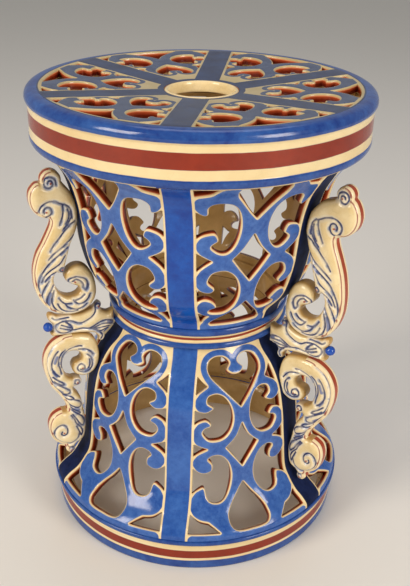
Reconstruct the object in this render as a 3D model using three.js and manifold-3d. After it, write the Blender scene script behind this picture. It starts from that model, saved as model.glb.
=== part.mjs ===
// Pierced and glazed pottery plant stand: two openwork drums on a waist ring, a pierced top
// with a hand hole, a striped rim and foot, and three scroll brackets standing against the bars.
import * as THREE from 'three';
import { mergeVertices } from 'three/addons/utils/BufferGeometryUtils.js';
import Module from 'manifold-3d';

const wasm = await Module();
wasm.setup();

// Driving dimensions, in millimetres. Radii are from the upright axis.
const footHeight = 40;
const lowerDrumHeight = 192.4;
const waistHeight = 24;
const upperDrumHeight = 180;
const rimHeight = 47.4;
const lute = 0.3; // the thin bed of slip between two luted pieces
const wall = 9;
const waistRadius = 94.5;
const rimRadius = 172;
const roll = 4.5; // how far a rounded roll stands out from its band
const railHalfWidth = 15.2; // half of an upright bar, with its edge line
const plateThickness = 12;
const plateDish = 7; // how far the top sags towards the hand hole
const ledgeWidth = 5.5; // of the ledge the top plate is luted on
const handHoleRadius = 33;
const collarWall = 4.5;
const bracketThickness = 22;
const ballRadius = 5.2;
const ballDrop = 6; // the balls' middles lie this far under the waist's middle
const leafReach = 31.5; // a leaf's end behind its ball, out from the bracket's leaning face

const segmentCount = 6;
const bracketCount = 3;
const facetsPerSegment = 5;
const turn = 2 * Math.PI;
const segmentAngle = turn / segmentCount;
const facetCount = segmentCount * facetsPerSegment;
const collarFacets = 20;
const frontBarAngle = -turn / 4;

// The foot is as wide as the rim without its roll, and the drums' ends follow their rings.
const footRadius = rimRadius - 6;
const lowerDrumFootRadius = footRadius + 2.5;
const lowerDrumTopRadius = waistRadius - 3;
const upperDrumFootRadius = waistRadius + 3;
const upperDrumTopRadius = rimRadius - 9;

// Heights where the pieces meet.
const lowerDrumBase = footHeight + lute;
const waistBase = lowerDrumBase + lowerDrumHeight + lute;
const upperDrumBase = waistBase + waistHeight + lute;
const rimSeat = upperDrumBase + upperDrumHeight + lute;
const rimLip = 8; // how far the rim reaches down outside the drum
const topHeight = rimSeat + rimHeight;
const waistMiddle = waistBase + waistHeight / 2;
const bracketClearance = 4 * lute; // a bracket's gap to the curved drums

// Glazes.
const glaze = {
  cobalt: { color: 0x2f5bb4, roughness: 0.22, metalness: 0 },
  cream: { color: 0xeadfbe, roughness: 0.25, metalness: 0 },
  ivory: { color: 0xe9ddb8, roughness: 0.24, metalness: 0 },
  red: { color: 0x8e3424, roughness: 0.25, metalness: 0 },
};

// Solids: a closed three.js geometry becomes a solid that can be joined and cut, and back.
function solidFrom(geometry) {
  const bare = geometry.clone();
  bare.deleteAttribute('normal');
  bare.deleteAttribute('uv');
  const merged = mergeVertices(bare, 1e-4);
  const position = merged.getAttribute('position');
  const corners = Array.from(merged.index.array);
  const triangles = [];
  for (let i = 0; i < corners.length; i += 3) {
    const [a, b, c] = corners.slice(i, i + 3);
    if (a !== b && b !== c && c !== a) triangles.push(a, b, c);
  }
  if (signedVolume(position, triangles) < 0) triangles.reverse();
  const mesh = new wasm.Mesh({
    numProp: 3,
    vertProperties: new Float32Array(position.array),
    triVerts: new Uint32Array(triangles),
  });
  return new wasm.Manifold(mesh);
}

function signedVolume(position, triangles) {
  const [a, b, c] = [new THREE.Vector3(), new THREE.Vector3(), new THREE.Vector3()];
  let volume = 0;
  for (let i = 0; i < triangles.length; i += 3) {
    a.fromBufferAttribute(position, triangles[i]);
    b.fromBufferAttribute(position, triangles[i + 1]);
    c.fromBufferAttribute(position, triangles[i + 2]);
    volume += a.dot(b.cross(c)) / 6;
  }
  return volume;
}

function geometryFrom(solid) {
  const mesh = solid.getMesh();
  const geometry = new THREE.BufferGeometry();
  geometry.setAttribute('position', new THREE.BufferAttribute(new Float32Array(mesh.vertProperties), 3));
  geometry.setIndex(new THREE.BufferAttribute(new Uint32Array(mesh.triVerts), 1));
  const flat = geometry.toNonIndexed();
  flat.computeVertexNormals();
  return flat;
}

function piece(name, geometry, finish) {
  const mesh = new THREE.Mesh(geometry, new THREE.MeshStandardMaterial(finish));
  mesh.name = name;
  return mesh;
}

// Outlines are drawn on flat sheets, in millimetres.
const toPoint = ([x, y]) => new THREE.Vector2(x, y);

function curveThrough(points, steps) {
  return new THREE.SplineCurve(points.map(toPoint)).getSpacedPoints(steps).map((p) => [p.x, p.y]);
}

function ellipseArc([x, y, xRadius, yRadius], fromDegrees, toDegrees, steps) {
  const points = [];
  for (let i = 0; i <= steps; i += 1) {
    const angle = THREE.MathUtils.degToRad(fromDegrees + ((toDegrees - fromDegrees) * i) / steps);
    points.push([x + xRadius * Math.cos(angle), y + yRadius * Math.sin(angle)]);
  }
  return points;
}

const mirrored = (points) => points.map(([x, y]) => [-x, y]).reverse();
const bothSides = (points) => [points, mirrored(points)];

// A hole on the middle line, from the points of its right half.
function onMiddle(half) {
  const other = mirrored(half).filter(([x]) => Math.abs(x) > 1e-6);
  return [...half, ...other];
}

// A C-scroll's hole: a bowl towards the middle line, and a curl of the strand at each end.
function scrollHole(upperCurl, bowl, lowerCurl, [bowlFrom, bowlTo] = [95, 262]) {
  return [
    ...curveThrough(upperCurl, upperCurl.length - 1),
    ...ellipseArc(bowl, bowlFrom, bowlTo, 5),
    ...curveThrough(lowerCurl, lowerCurl.length - 1),
  ];
}

// Each drum's sheet has x = 0 on the segment's middle line, x = sheetHalfWidth at the bar's
// edge, and y measured up from the drum's lower edge at the sheet's own height.
const sheetHalfWidth = 53;
const edge = sheetHalfWidth;
const upperSheet = {
  height: 180,
  holes: [
    onMiddle([[0, 134], [7, 142.5], [13.5, 152], [19.5, 161.5], [20.5, 167], [17, 171]]),
    onMiddle([[0, 117.5], [8.5, 103], [18.7, 92], [9.3, 79], [0, 67]]),
    onMiddle([[0, 41], [9.3, 31.5], [23.3, 20], [39.5, 7.5], [37, 5.5]]),
    ...bothSides([[edge, 160], [edge, 171], [34, 171], [37, 166.5], [46, 165.5]]),
    ...bothSides([[edge, 99.5], [38.3, 91], [edge, 79.5]]),
    ...bothSides([[edge, 26.5], [40.5, 21.5], [50.5, 9.5]]),
    ...bothSides(scrollHole(
      [[edge, 144], [46, 139.8], [42.5, 141.5], [42, 149], [36.7, 153.4]],
      [28.5, 126, 14.7, 27.4],
      [[33, 100], [39.5, 105.5], [37.5, 109], [33, 113], [36.5, 120.3], [46, 119], [edge, 115]],
    )),
    ...bothSides(scrollHole(
      [[edge, 59], [46, 55.5], [39, 55], [35, 59.5], [41.5, 66.5], [40.5, 73], [36, 78.3]],
      [28.5, 52.8, 19, 27.2],
      [[36.7, 26], [40.8, 29.5], [38, 33], [32, 36], [37, 43.5], [45, 46.3], [edge, 43]],
    )),
  ],
};
const lowerSheet = {
  height: 192.4,
  holes: [
    onMiddle([[0, 136], [10.2, 146.5], [22.5, 157.5], [35, 167], [39.8, 174], [36.5, 179.8],
      [26, 182.6], [14, 181.8], [6.6, 177], [12.5, 172], [6.5, 168.4], [0, 167.6]]),
    onMiddle([[0, 118], [7, 103], [18.3, 91.5], [9, 79], [0, 66]]),
    onMiddle([[0, 47], [6.9, 37], [13.6, 28], [17.8, 20], [17.6, 13.5], [14.2, 9], [8.5, 7.5]]),
    ...bothSides([[edge, 168], [39.3, 159], [edge, 151]]),
    ...bothSides([[edge, 97], [38.3, 91], [edge, 82.5]]),
    ...bothSides([[edge, 21], [45.5, 17], [36.5, 15.3], [31.6, 12], [26.7, 7.5], [edge, 7.5]]),
    ...bothSides(scrollHole(
      [[edge, 135.5], [46, 133], [39.2, 132.8], [32, 137.5], [39, 142.5], [38.5, 148.5], [34, 150.7]],
      [29, 126, 18.8, 25.2],
      [[37, 101.6], [43.6, 109.5], [41.5, 114.8], [34.5, 118.5], [40, 124.5], [47.5, 123], [edge, 119.5]],
    )),
    ...bothSides(scrollHole(
      [[edge, 67.5], [46.5, 62.5], [40, 61.4], [33, 65], [33, 73], [37.3, 78.5], [34, 82]],
      [28.5, 56.3, 15.7, 26.8],
      [[33.5, 30.6], [37.8, 34.5], [41.2, 44.5], [47.3, 42.5], [edge, 38.5]],
    )),
  ],
};

// A drum's wall: the outside curve from its lower to its upper edge. Each point is a share of
// the drum's height and of the step from its smaller to its larger end radius.
function drumWall(base, height, smallRadius, largeRadius, shares) {
  const points = shares.map(([up, out]) => [
    smallRadius + out * (largeRadius - smallRadius),
    base + up * height,
  ]);
  const curve = new THREE.SplineCurve(points.map(toPoint));
  const samples = curve.getPoints(200);
  function at(z) {
    let i = samples.findIndex((p) => p.y >= z);
    if (i < 0) i = samples.length - 1;
    i = Math.max(i, 1);
    const [low, high] = [samples[i - 1], samples[i]];
    const share = THREE.MathUtils.clamp((z - low.y) / (high.y - low.y), 0, 1);
    const slope = new THREE.Vector2().subVectors(high, low).normalize();
    return { radius: low.x + share * (high.x - low.x), out: slope.y, up: -slope.x };
  }
  return { base, height, points, at };
}

const upperWall = drumWall(upperDrumBase, upperDrumHeight, upperDrumFootRadius, upperDrumTopRadius, [
  [0, 0], [0.06, 0.06], [0.155, 0.27], [0.255, 0.4], [0.41, 0.5], [0.63, 0.57],
  [0.79, 0.68], [0.89, 0.83], [0.95, 0.95], [1, 1],
]);
const lowerWall = drumWall(lowerDrumBase, lowerDrumHeight, lowerDrumTopRadius, lowerDrumFootRadius, [
  [0, 1], [0.03, 0.99], [0.065, 0.91], [0.1, 0.79], [0.155, 0.68], [0.24, 0.58],
  [0.44, 0.525], [0.64, 0.46], [0.765, 0.375], [0.86, 0.25], [0.935, 0.08], [1, 0],
]);

function rotatedProfile(points) {
  const closed = [...points, points[0]].map(toPoint);
  return new THREE.LatheGeometry(closed, facetCount).rotateX(Math.PI / 2);
}

// Flips the inner edges of flat triangles until each is the short way across, so that the
// triangles follow a curved wall closely.
function shortened(points, faces) {
  const area = (a, b, c) => (b.x - a.x) * (c.y - a.y) - (b.y - a.y) * (c.x - a.x);
  const circleHolds = (a, b, c, d) => {
    const [ax, ay, bx, by, cx, cy] = [a.x - d.x, a.y - d.y, b.x - d.x, b.y - d.y, c.x - d.x, c.y - d.y];
    const [aa, bb, cc] = [ax * ax + ay * ay, bx * bx + by * by, cx * cx + cy * cy];
    return ax * (by * cc - bb * cy) - ay * (bx * cc - bb * cx) + aa * (bx * cy - by * cx) > 1e-6;
  };
  const flat = faces.map(([a, b, c]) => (area(points[a], points[b], points[c]) < 0 ? [a, c, b] : [a, b, c]));
  let flips = 1;
  while (flips > 0) {
    flips = 0;
    const touched = new Set();
    const owner = edgeOwners(flat);
    for (const [i, p, q, r] of owner.values()) {
      const twin = owner.get(`${q} ${p}`);
      if (!twin || touched.has(i) || touched.has(twin[0])) continue;
      const [j, , , s] = twin;
      const [pp, pq, pr, ps] = [p, q, r, s].map((k) => points[k]);
      const convex = area(pp, ps, pr) > 1e-6 && area(ps, pq, pr) > 1e-6;
      if (!convex || !circleHolds(pp, pq, pr, ps)) continue;
      flat[i] = [p, s, r];
      flat[j] = [s, q, r];
      touched.add(i).add(j);
      flips += 1;
    }
  }
  return flat;
}

// Each face's three directed edges, with the face's number and its third corner.
function edgeOwners(faces) {
  const owner = new Map();
  faces.forEach(([a, b, c], i) => {
    for (const [p, q, r] of [[a, b, c], [b, c, a], [c, a, b]]) owner.set(`${p} ${q}`, [i, p, q, r]);
  });
  return owner;
}

// A pierced sheet given thickness: onFront and onBack place a flat point on its two faces.
function piercedSheet(outline, holes, onFront, onBack) {
  const rings = [outline, ...holes].map((ring) => ring.map(toPoint));
  const points = rings.flat();
  const faces = shortened(points, THREE.ShapeUtils.triangulateShape(rings[0], rings.slice(1)));
  const count = points.length;
  const index = faces.flatMap(([a, b, c]) => [a, b, c, a + count, c + count, b + count]);
  const owner = edgeOwners(faces);
  for (const [, p, q] of owner.values()) {
    if (!owner.has(`${q} ${p}`)) index.push(q, p, p + count, q, p + count, q + count);
  }
  const placed = [...points.map(onFront), ...points.map(onBack)];
  const sheet = new THREE.BufferGeometry();
  sheet.setAttribute('position', new THREE.Float32BufferAttribute(placed.flat(), 3));
  sheet.setIndex(index);
  return sheet;
}

// One press-moulded segment of a drum, its middle line along +X. Its sides stop half a lute
// short of the seams, which run down the middle of the bars.
const seam = sheetHalfWidth + railHalfWidth;

function drumSegment(drum, sheet) {
  const heights = drum.points.map(([, z]) => ((z - drum.base) * sheet.height) / drum.height);
  const across = [-44, -18, 18, 44];
  const bow = (share) => 0.5 * (1 - (2 * share - 1) ** 2); // keeps the points off one line
  const below = across.map((x) => [x, -bow(0.5 + x / seam / 2)]);
  const beside = heights.map((y) => [seam + bow(y / sheet.height), y]);
  const outline = [
    ...below,
    ...beside,
    ...below.map(([x, y]) => [-x, sheet.height - y]),
    ...beside.map(([x, y]) => [-x, y]).reverse(),
  ];
  const place = (depth) => ({ x, y }) => {
    const share = THREE.MathUtils.clamp(y / sheet.height, 0, 1);
    const z = drum.base + share * drum.height;
    const { radius, out, up } = drum.at(z);
    const openAngle = segmentAngle / 2 - Math.asin(railHalfWidth / radius);
    const seamAngle = segmentAngle / 2 - Math.asin(lute / 2 / radius);
    const pastEdge = THREE.MathUtils.clamp((Math.abs(x) - sheetHalfWidth) / railHalfWidth, 0, 1);
    const inOpening = Math.min(Math.abs(x), sheetHalfWidth) / sheetHalfWidth;
    const angle = Math.sign(x) * (openAngle * inOpening + (seamAngle - openAngle) * pastEdge);
    const atEnd = share === 0 || share === 1;
    const reach = radius - depth * (atEnd ? 1 : out);
    const rise = atEnd ? 0 : up * depth;
    return [reach * Math.cos(angle), reach * Math.sin(angle), z - rise];
  };
  return geometryFrom(solidFrom(piercedSheet(outline, sheet.holes, place(0), place(wall))));
}

function addDrum(group, name, drum, sheet) {
  const geometry = drumSegment(drum, sheet);
  for (let i = 0; i < segmentCount; i += 1) {
    const segment = piece(`${name}_segment_${i + 1}`, geometry, glaze.cobalt);
    segment.rotation.z = frontBarAngle + (i + 0.5) * segmentAngle;
    group.add(segment);
  }
}

// The foot, waist and rim: rings turned round the axis, drawn as radius and height.
function footRing() {
  const seat = lowerDrumFootRadius - wall;
  const under = footRadius - 14;
  return geometryFrom(solidFrom(rotatedProfile([
    [under, 0], [footRadius - 1.5, 0], [footRadius, 3], [footRadius - 0.5, footHeight - 9],
    [footRadius + roll, footHeight - 5.5], [footRadius + roll, footHeight - 1.5],
    [lowerDrumFootRadius, footHeight], [seat, footHeight], [under, footHeight - 12],
  ])));
}

function waistRing() {
  const top = waistBase + waistHeight;
  const inner = Math.min(upperDrumFootRadius, lowerDrumTopRadius) - wall;
  return geometryFrom(solidFrom(rotatedProfile([
    [inner, waistBase], [waistRadius + 1, waistBase], [waistRadius + roll, waistBase + 3.5],
    [waistRadius + roll - 0.5, waistBase + 6.5], [waistRadius, waistBase + 8.5],
    [waistRadius, top - 8.5], [waistRadius + roll, top - 6], [waistRadius + roll + 0.5, top - 2.5],
    [upperDrumFootRadius + 1, top], [inner + 2, top],
  ])));
}

const plateRadius = rimRadius - 10;
const ledgeHeight = topHeight - plateThickness;

function rimBand() {
  const drumTop = upperDrumTopRadius - wall;
  const lipInside = upperDrumTopRadius + 1.5;
  const inside = plateRadius - 2;
  return geometryFrom(solidFrom(rotatedProfile([
    [lipInside, rimSeat - rimLip], [rimRadius - 4, rimSeat - rimLip], [rimRadius, rimSeat],
    [rimRadius, topHeight - 17.5], [rimRadius + roll, topHeight - 12.5],
    [rimRadius + roll, topHeight - 7], [rimRadius, topHeight - 1.5], [rimRadius - 4, topHeight],
    [plateRadius, topHeight], [plateRadius, ledgeHeight - lute],
    [plateRadius - ledgeWidth, ledgeHeight - lute], [plateRadius - ledgeWidth, ledgeHeight - 8],
    [inside, ledgeHeight - 15], [inside, rimSeat + 6], [drumTop, rimSeat], [lipInside, rimSeat],
  ])));
}

// The top plate: six pierced sectors between bars that run from the hub to the rim. A sector's
// sheet has x along its middle line, measured from the axis, and y across it. It is drawn for a
// plate of sheetPlateRadius and scaled to the real one.
const sheetPlateRadius = 162;
const sectorReach = sheetPlateRadius - 4.5;
const barEdgeAt = (along) => [
  along * Math.cos(segmentAngle / 2) + railHalfWidth * Math.sin(segmentAngle / 2),
  along * Math.sin(segmentAngle / 2) - railHalfWidth * Math.cos(segmentAngle / 2),
];
const rimPoint = (degrees) => {
  const angle = THREE.MathUtils.degToRad(degrees);
  return [sectorReach * Math.cos(angle), sectorReach * Math.sin(angle)];
};
const rimCorner = barEdgeAt(Math.sqrt(sectorReach ** 2 - railHalfWidth ** 2));
const swapped = (points) => points.map(([x, y]) => [y, x]);
const acrossMiddle = (half) => swapped(onMiddle(swapped(half)));
const eitherSide = (points) => bothSides(swapped(points)).map(swapped);
const sectorHoles = [
  acrossMiddle([[102, 0], [95, 9], [86, 16.3], [77, 19.3], [69.5, 17.3], [66, 12], [68, 6.8],
    [74, 8], [79, 5.3], [80, 0]]),
  acrossMiddle([[128, 0], [136, 5], [145, 14], [151, 23], rimPoint(10.5), rimPoint(5), rimPoint(0)]),
  ...eitherSide([rimCorner, barEdgeAt(142), [140, 55.5], rimPoint(18.5), rimPoint(21.5)]),
  ...eitherSide([barEdgeAt(86), [93, 27.5], barEdgeAt(101)]),
  ...eitherSide([
    barEdgeAt(119), [109.5, 42], [112.5, 38], [108.5, 35], [104.5, 37], [101, 33.5],
    ...ellipseArc([118.5, 31, 18, 18.5], 190, 350, 5),
    [136.3, 36.5], [133, 43], [127.5, 40.5], [122.8, 41.5], [123.5, 46.5], barEdgeAt(130),
  ]),
];

function onPlate(point, angle) {
  const [x, y] = point.map((value) => (value * plateRadius) / sheetPlateRadius);
  return [x * Math.cos(angle) - y * Math.sin(angle), x * Math.sin(angle) + y * Math.cos(angle)];
}

function topPlate() {
  const fit = plateRadius - lute / Math.cos(Math.PI / facetCount);
  const rim = ellipseArc([0, 0, fit, fit], -90, 270, facetCount).slice(0, -1);
  const hub = handHoleRadius + collarWall + lute;
  const hubHole = ellipseArc([0, 0, hub, hub], 0, 360, collarFacets).slice(0, -1);
  const holes = [hubHole];
  for (let i = 0; i < segmentCount; i += 1) {
    const angle = frontBarAngle + (i + 0.5) * segmentAngle;
    for (const hole of sectorHoles) holes.push(hole.map((point) => onPlate(point, angle)));
  }
  const place = (depth) => ({ x, y }) => [x, y, topHeight - depth - dishAt(Math.hypot(x, y))];
  return geometryFrom(solidFrom(piercedSheet(rim, holes, place(0), place(plateThickness))));
}

function dishAt(radius) {
  const flatFrom = plateRadius - ledgeWidth;
  return plateDish * Math.max(0, 1 - radius / flatFrom);
}

function handHoleCollar() {
  const outer = handHoleRadius + collarWall;
  const top = topHeight - dishAt(outer) + 1;
  const bottom = top - plateThickness - 1.5;
  const middle = handHoleRadius + collarWall / 2;
  const profile = [
    [middle, bottom], [outer, bottom + 2], [outer, top - 2], [middle, top],
    [handHoleRadius + 0.8, top - 1.2], [handHoleRadius, top - 4], [handHoleRadius, bottom + 3],
    [handHoleRadius + 0.8, bottom + 0.8],
  ];
  const ring = new THREE.LatheGeometry([...profile, profile[0]].map(toPoint), collarFacets);
  return geometryFrom(solidFrom(ring.rotateX(Math.PI / 2)));
}

// The brackets stand in the upright plane through the axis. Their sheets have x outwards from
// the bar's face where the upper scroll leans on it, and y up from the middle of the waist.
const leanHeight = 118;
const bracketFace = upperWall.at(waistMiddle + leanHeight).radius + lute;

// The brackets were modelled by hand. On the leaning one the bud on top sits further out, and
// the lower volute hangs further down, than on the two upright ones.
const uprightBracket = {
  crown: [
    ...ellipseArc([24.9, 157.3, 10.4, 10.4], 190, -8, 9),
    ...curveThrough([[35.2, 155.5], [40.5, 155], [46.3, 148.5], [47.8, 140], [45.8, 130.5], [40, 122.5],
      [33.5, 119], [28.2, 117.3]], 8),
  ],
  chest: [[28.6, 110], [36.8, 93.5], [44, 81]],
  back: [[4, 98.5], [1.2, 108], [0, 118], [0.6, 127.5], [2.6, 136], [6, 143.5], [12, 151.5]],
  sag: 0,
};
const leaningBracket = {
  crown: [
    [23.5, 156],
    ...ellipseArc([39.5, 163.2, 9, 9.2], 205, -14, 9),
    ...curveThrough([[51.5, 158], [55.3, 150.5], [56.5, 141.5], [54, 132.5], [48.5, 125.8], [42, 122.2],
      [36.6, 120.2], [33.6, 117.6]], 8),
  ],
  chest: [[35, 110], [40.5, 96.5], [45.4, 82]],
  back: [[6.5, 98], [3.6, 108.5], [1.2, 119], [1.8, 127.5], [3.4, 134.7], [6, 141.3], [16, 152.6]],
  sag: 8,
};

function upperScrollOutline({ crown, chest, back }) {
  return [
    ...crown,
    ...curveThrough([...chest, [48.2, 67], [49, 55], [47.8, 42], [42.8, 28],
      [34, 16.5], [23.5, 10.4], [13, 8.2], [3, 9.2], [-6.5, 13.5], [-13.5, 22], [-15.8, 32],
      [-14.7, 43.5], [-11.5, 53], [-5.5, 61], [2.5, 64], [10.5, 62], [16.3, 56], [16.5, 48.5],
      [11, 43.3]], 24),
    ...curveThrough([[4, 39.5], [1.5, 34.5], [6, 30], [13, 29], [20, 32], [25.5, 39], [28.4, 48],
      [27, 57], [22.5, 62.5]], 9),
    ...curveThrough([[17.5, 61.5], [12.8, 65], [13, 70.5], [12, 78], [9, 88], ...back], 12),
  ];
}

const lowerScrollSheet = [
  ...curveThrough([[-6.5, -20.4], [6, -17], [22, -17.2], [33.5, -22.2], [40.5, -30], [44.6, -40],
    [45.3, -52], [43, -65], [39, -77], [32, -88], [25.5, -100], [23, -108.5]], 14),
  ...curveThrough([[24.5, -112.5], [31, -111.5], [39, -115.5], [43.3, -122], [44.8, -130], [43.5, -140],
    [40.5, -147.5], [34, -154], [28.8, -156.8]], 9),
];
const lowerScrollBack = [
  ...curveThrough([[15.5, -157.4], [7, -152.5], [4, -143.5], [3, -132], [4, -122], [6, -105],
    [8.5, -95], [14, -87]], 9),
  ...curveThrough([[16, -80.5], [13, -77.5], [7.5, -75.5], [6.5, -71], [10, -68.3], [16, -69.5],
    [21, -67]], 6),
  ...curveThrough([[24.3, -60], [25.7, -51.5], [22.5, -41.5], [16, -37], [8.5, -38], [4, -44],
    [6, -49.5], [12, -51.5], [15.2, -58], [12.5, -65.3], [6, -69.3], [-1, -70], [-9.5, -65.5],
    [-14.5, -57], [-16, -46.5], [-14.8, -36], [-12, -27]], 17),
];

// A sagging lower scroll drops most at its inner volute and little along its outer edge.
function sagged([x, y], sag) {
  const depth = THREE.MathUtils.clamp((-20 - y) / 30, 0, 1);
  return [x, y - sag * depth * (1 - (x + 15) / 85)];
}

// The bud under the lower scroll stands on the flare of the drum.
function lowerScrollOutline({ sag }) {
  const [inner, outer] = [18, 26.5];
  const tip = (inner + outer) / 2;
  const stand = budStandHeight(bracketFace + tip) - waistMiddle;
  const shoulder = sagged([tip, -160.5], sag)[1];
  const bud = [[outer, shoulder], [outer - 0.6, stand + 5], [tip + 1.6, stand], [tip - 1.6, stand],
    [inner + 0.4, stand + 5], [inner, shoulder]];
  const drop = (point) => sagged(point, sag);
  return [...lowerScrollSheet.map(drop), ...bud, ...lowerScrollBack.map(drop)];
}

function budStandHeight(radius) {
  let z = lowerWall.base;
  const step = 0.25;
  while (z < waistMiddle && lowerWall.at(z).radius > radius - 2) z += step;
  return z - 1; // a little inside the drum, which shapes its foot
}

// The leaf between the two scrolls, from the waist ring outwards. Its first points are tied to
// the waist, the others to the brackets' face.
function leafOutline() {
  const start = waistRadius + roll + 0.5 + lute - bracketFace;
  const grow = (x) => start + x;
  return [
    [start, -11.5], [grow(7), -14], ...curveThrough([[grow(11.5), -17.5], [grow(10.5), -23],
      [grow(13.5), -27.5], [grow(17.5), -26.5], [grow(18.5), -21.5], [-12.5, -17]], 6),
    [-5, -16], [6, -15.8], [22, -15.8], [leafReach, -15.5], [leafReach + 3, -14.5],
    [leafReach + 3.5, -12.6], [leafReach + 0.8, -10.6], [leafReach, -8], [leafReach, -4],
    [leafReach + 1.5, -0.5], [leafReach + 5, 4], [leafReach + 6, 8.5], [leafReach + 4, 11.5],
    [leafReach, 10.8], [27, 8.2], [22, 7.2], [13, 7.2], [2.5, 8.2], [-7, 12.3], [-12, 15],
    ...curveThrough([[grow(20.5), 17], [grow(16.5), 20], [grow(13), 17], [grow(14), 11.5],
      [grow(7), 7]], 5),
    [start, 9],
  ];
}

function bracketSlab(outline, thickness) {
  const slab = new THREE.ExtrudeGeometry(new THREE.Shape(outline.map(toPoint)), {
    depth: thickness,
    bevelEnabled: false,
  });
  slab.rotateX(Math.PI / 2);
  slab.translate(bracketFace, thickness / 2, waistMiddle);
  return solidFrom(slab);
}

// What a bracket must stay clear of: both drums, grown by the clearance. The turn puts a corner
// of the grown drums, not the middle of a facet, under the bracket's middle.
function grownDrum(drum) {
  const grown = drum.points.map(([radius, z]) => [radius + bracketClearance, z]);
  const [low, high] = [grown[0], grown.at(-1)];
  return solidFrom(rotatedProfile([[1, low[1] - lute], [low[0], low[1] - lute], ...grown,
    [high[0], high[1] + lute], [1, high[1] + lute]]));
}
const aroundBar = [0, 0, 180 / facetCount];
const keepClear = grownDrum(upperWall).add(grownDrum(lowerWall)).rotate(aroundBar);

function addBracket(group, number, angle, shape) {
  const bracket = new THREE.Group();
  bracket.rotation.z = angle;
  const scroll = (outline) => geometryFrom(bracketSlab(outline, bracketThickness).subtract(keepClear));
  bracket.add(piece(`upper_scroll_${number}`, scroll(upperScrollOutline(shape)), glaze.ivory));
  bracket.add(piece(`lower_scroll_${number}`, scroll(lowerScrollOutline(shape)), glaze.ivory));
  const leaf = bracketSlab(leafOutline(), bracketThickness - 4).subtract(keepClear);
  bracket.add(piece(`leaf_${number}`, geometryFrom(leaf), glaze.ivory));
  const ball = new THREE.SphereGeometry(ballRadius, 10, 7).rotateX(Math.PI / 2);
  const ballMesh = piece(`ball_${number}`, ball, glaze.cobalt);
  ballMesh.position.set(bracketFace + leafReach + lute + ballRadius, 0, waistMiddle - ballDrop);
  bracket.add(ballMesh);
  group.add(bracket);
}

const stand = new THREE.Group();
stand.add(piece('foot_ring', footRing(), glaze.cobalt));
addDrum(stand, 'lower', lowerWall, lowerSheet);
stand.add(piece('waist_ring', waistRing(), glaze.cream));
addDrum(stand, 'upper', upperWall, upperSheet);
stand.add(piece('rim_band', rimBand(), glaze.red));
stand.add(piece('top_plate', topPlate(), glaze.cobalt));
stand.add(piece('hand_hole_collar', handHoleCollar(), glaze.cream));
for (let i = 0; i < bracketCount; i += 1) {
  const angle = frontBarAngle + segmentAngle + (i * turn) / bracketCount;
  addBracket(stand, i + 1, angle, i === 0 ? leaningBracket : uprightBracket);
}

export default stand;
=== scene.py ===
import math

import bpy
import numpy as np
from mathutils import Matrix, Vector
from mathutils.geometry import delaunay_2d_cdt


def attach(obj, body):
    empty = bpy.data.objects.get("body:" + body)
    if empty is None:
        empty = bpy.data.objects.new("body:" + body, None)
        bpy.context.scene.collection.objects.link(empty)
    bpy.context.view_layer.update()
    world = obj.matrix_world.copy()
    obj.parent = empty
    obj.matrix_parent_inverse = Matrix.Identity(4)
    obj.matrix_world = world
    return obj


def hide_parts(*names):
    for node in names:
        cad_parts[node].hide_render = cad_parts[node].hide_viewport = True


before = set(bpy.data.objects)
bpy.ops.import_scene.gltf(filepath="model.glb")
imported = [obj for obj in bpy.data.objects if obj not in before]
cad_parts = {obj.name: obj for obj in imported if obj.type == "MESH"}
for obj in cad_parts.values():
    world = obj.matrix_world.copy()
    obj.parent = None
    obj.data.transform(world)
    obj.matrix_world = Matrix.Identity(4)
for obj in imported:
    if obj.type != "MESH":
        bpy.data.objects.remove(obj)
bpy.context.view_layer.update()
mm = 0.001
segmentTurn = math.tau / 6
frontBar = -math.pi / 2
print("frame loaded:", len(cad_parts), "nodes")


# Lines and outlines, as lists of flat points.
def smoothThrough(points, spacing=0.9):
    given = [np.array(p, float) for p in points]
    padded = [given[0]] + given + [given[-1]]
    line = []
    for a, b, c, d in zip(padded, padded[1:], padded[2:], padded[3:]):
        steps = max(1, round(float(np.linalg.norm(c - b)) / spacing))
        for i in range(steps):
            t = i / steps
            line.append(0.5 * (2 * b + (c - a) * t + (2 * a - 5 * b + 4 * c - d) * t * t
                               + (3 * b - a - 3 * c + d) * t ** 3))
    line.append(given[-1])
    return line


def closedOutline(runs, spacing=0.9, softening=2):
    # each run is a smooth line from the end of the one before; softening rounds the corners
    loop = [p for run in runs for p in smoothThrough(run, spacing)[:-1]]
    loop = np.array(loop)
    for _ in range(softening):
        loop = 0.5 * loop + 0.25 * (np.roll(loop, 1, 0) + np.roll(loop, -1, 0))
    return loop


def arcPoints(x, y, xRadius, yRadius, start, end, count):
    turns = np.radians(np.linspace(start, end, count))
    return [[x + xRadius * math.cos(a), y + yRadius * math.sin(a)] for a in turns]


def mirroredRuns(runs):
    return [[[-x, y] for x, y in reversed(run)] for run in reversed(runs)]


def onMiddle(runs):
    return runs + mirroredRuns(runs)


def bothSides(runs):
    return [runs, mirroredRuns(runs)]


def closedBack(runs):
    # a hole on one side of the middle line, closed by a straight run back to its start
    return runs + [[runs[-1][-1], runs[0][0]]]


def segmentDistance(points, starts, ends):
    # distance from every point to the nearest of the segments, flat or in space
    best = np.full(len(points), 1e9)
    along = ends - starts
    square = np.maximum((along ** 2).sum(1), 1e-12)
    for first in range(0, len(starts), 64):
        a, v, s = starts[first:first + 64], along[first:first + 64], square[first:first + 64]
        gap = points[:, None, :] - a[None]
        t = np.clip((gap * v[None]).sum(2) / s[None], 0, 1)
        gap -= t[:, :, None] * v[None]
        best = np.minimum(best, np.sqrt((gap ** 2).sum(2)).min(1))
    return best


def loopSegments(loops):
    return (np.concatenate(loops), np.concatenate([np.roll(loop, -1, 0) for loop in loops]))


def lineSegments(lines, spacing=0.8):
    drawn = [np.array(smoothThrough(line, spacing)) for line in lines]
    return (np.concatenate([d[:-1] for d in drawn]), np.concatenate([d[1:] for d in drawn]))


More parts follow.
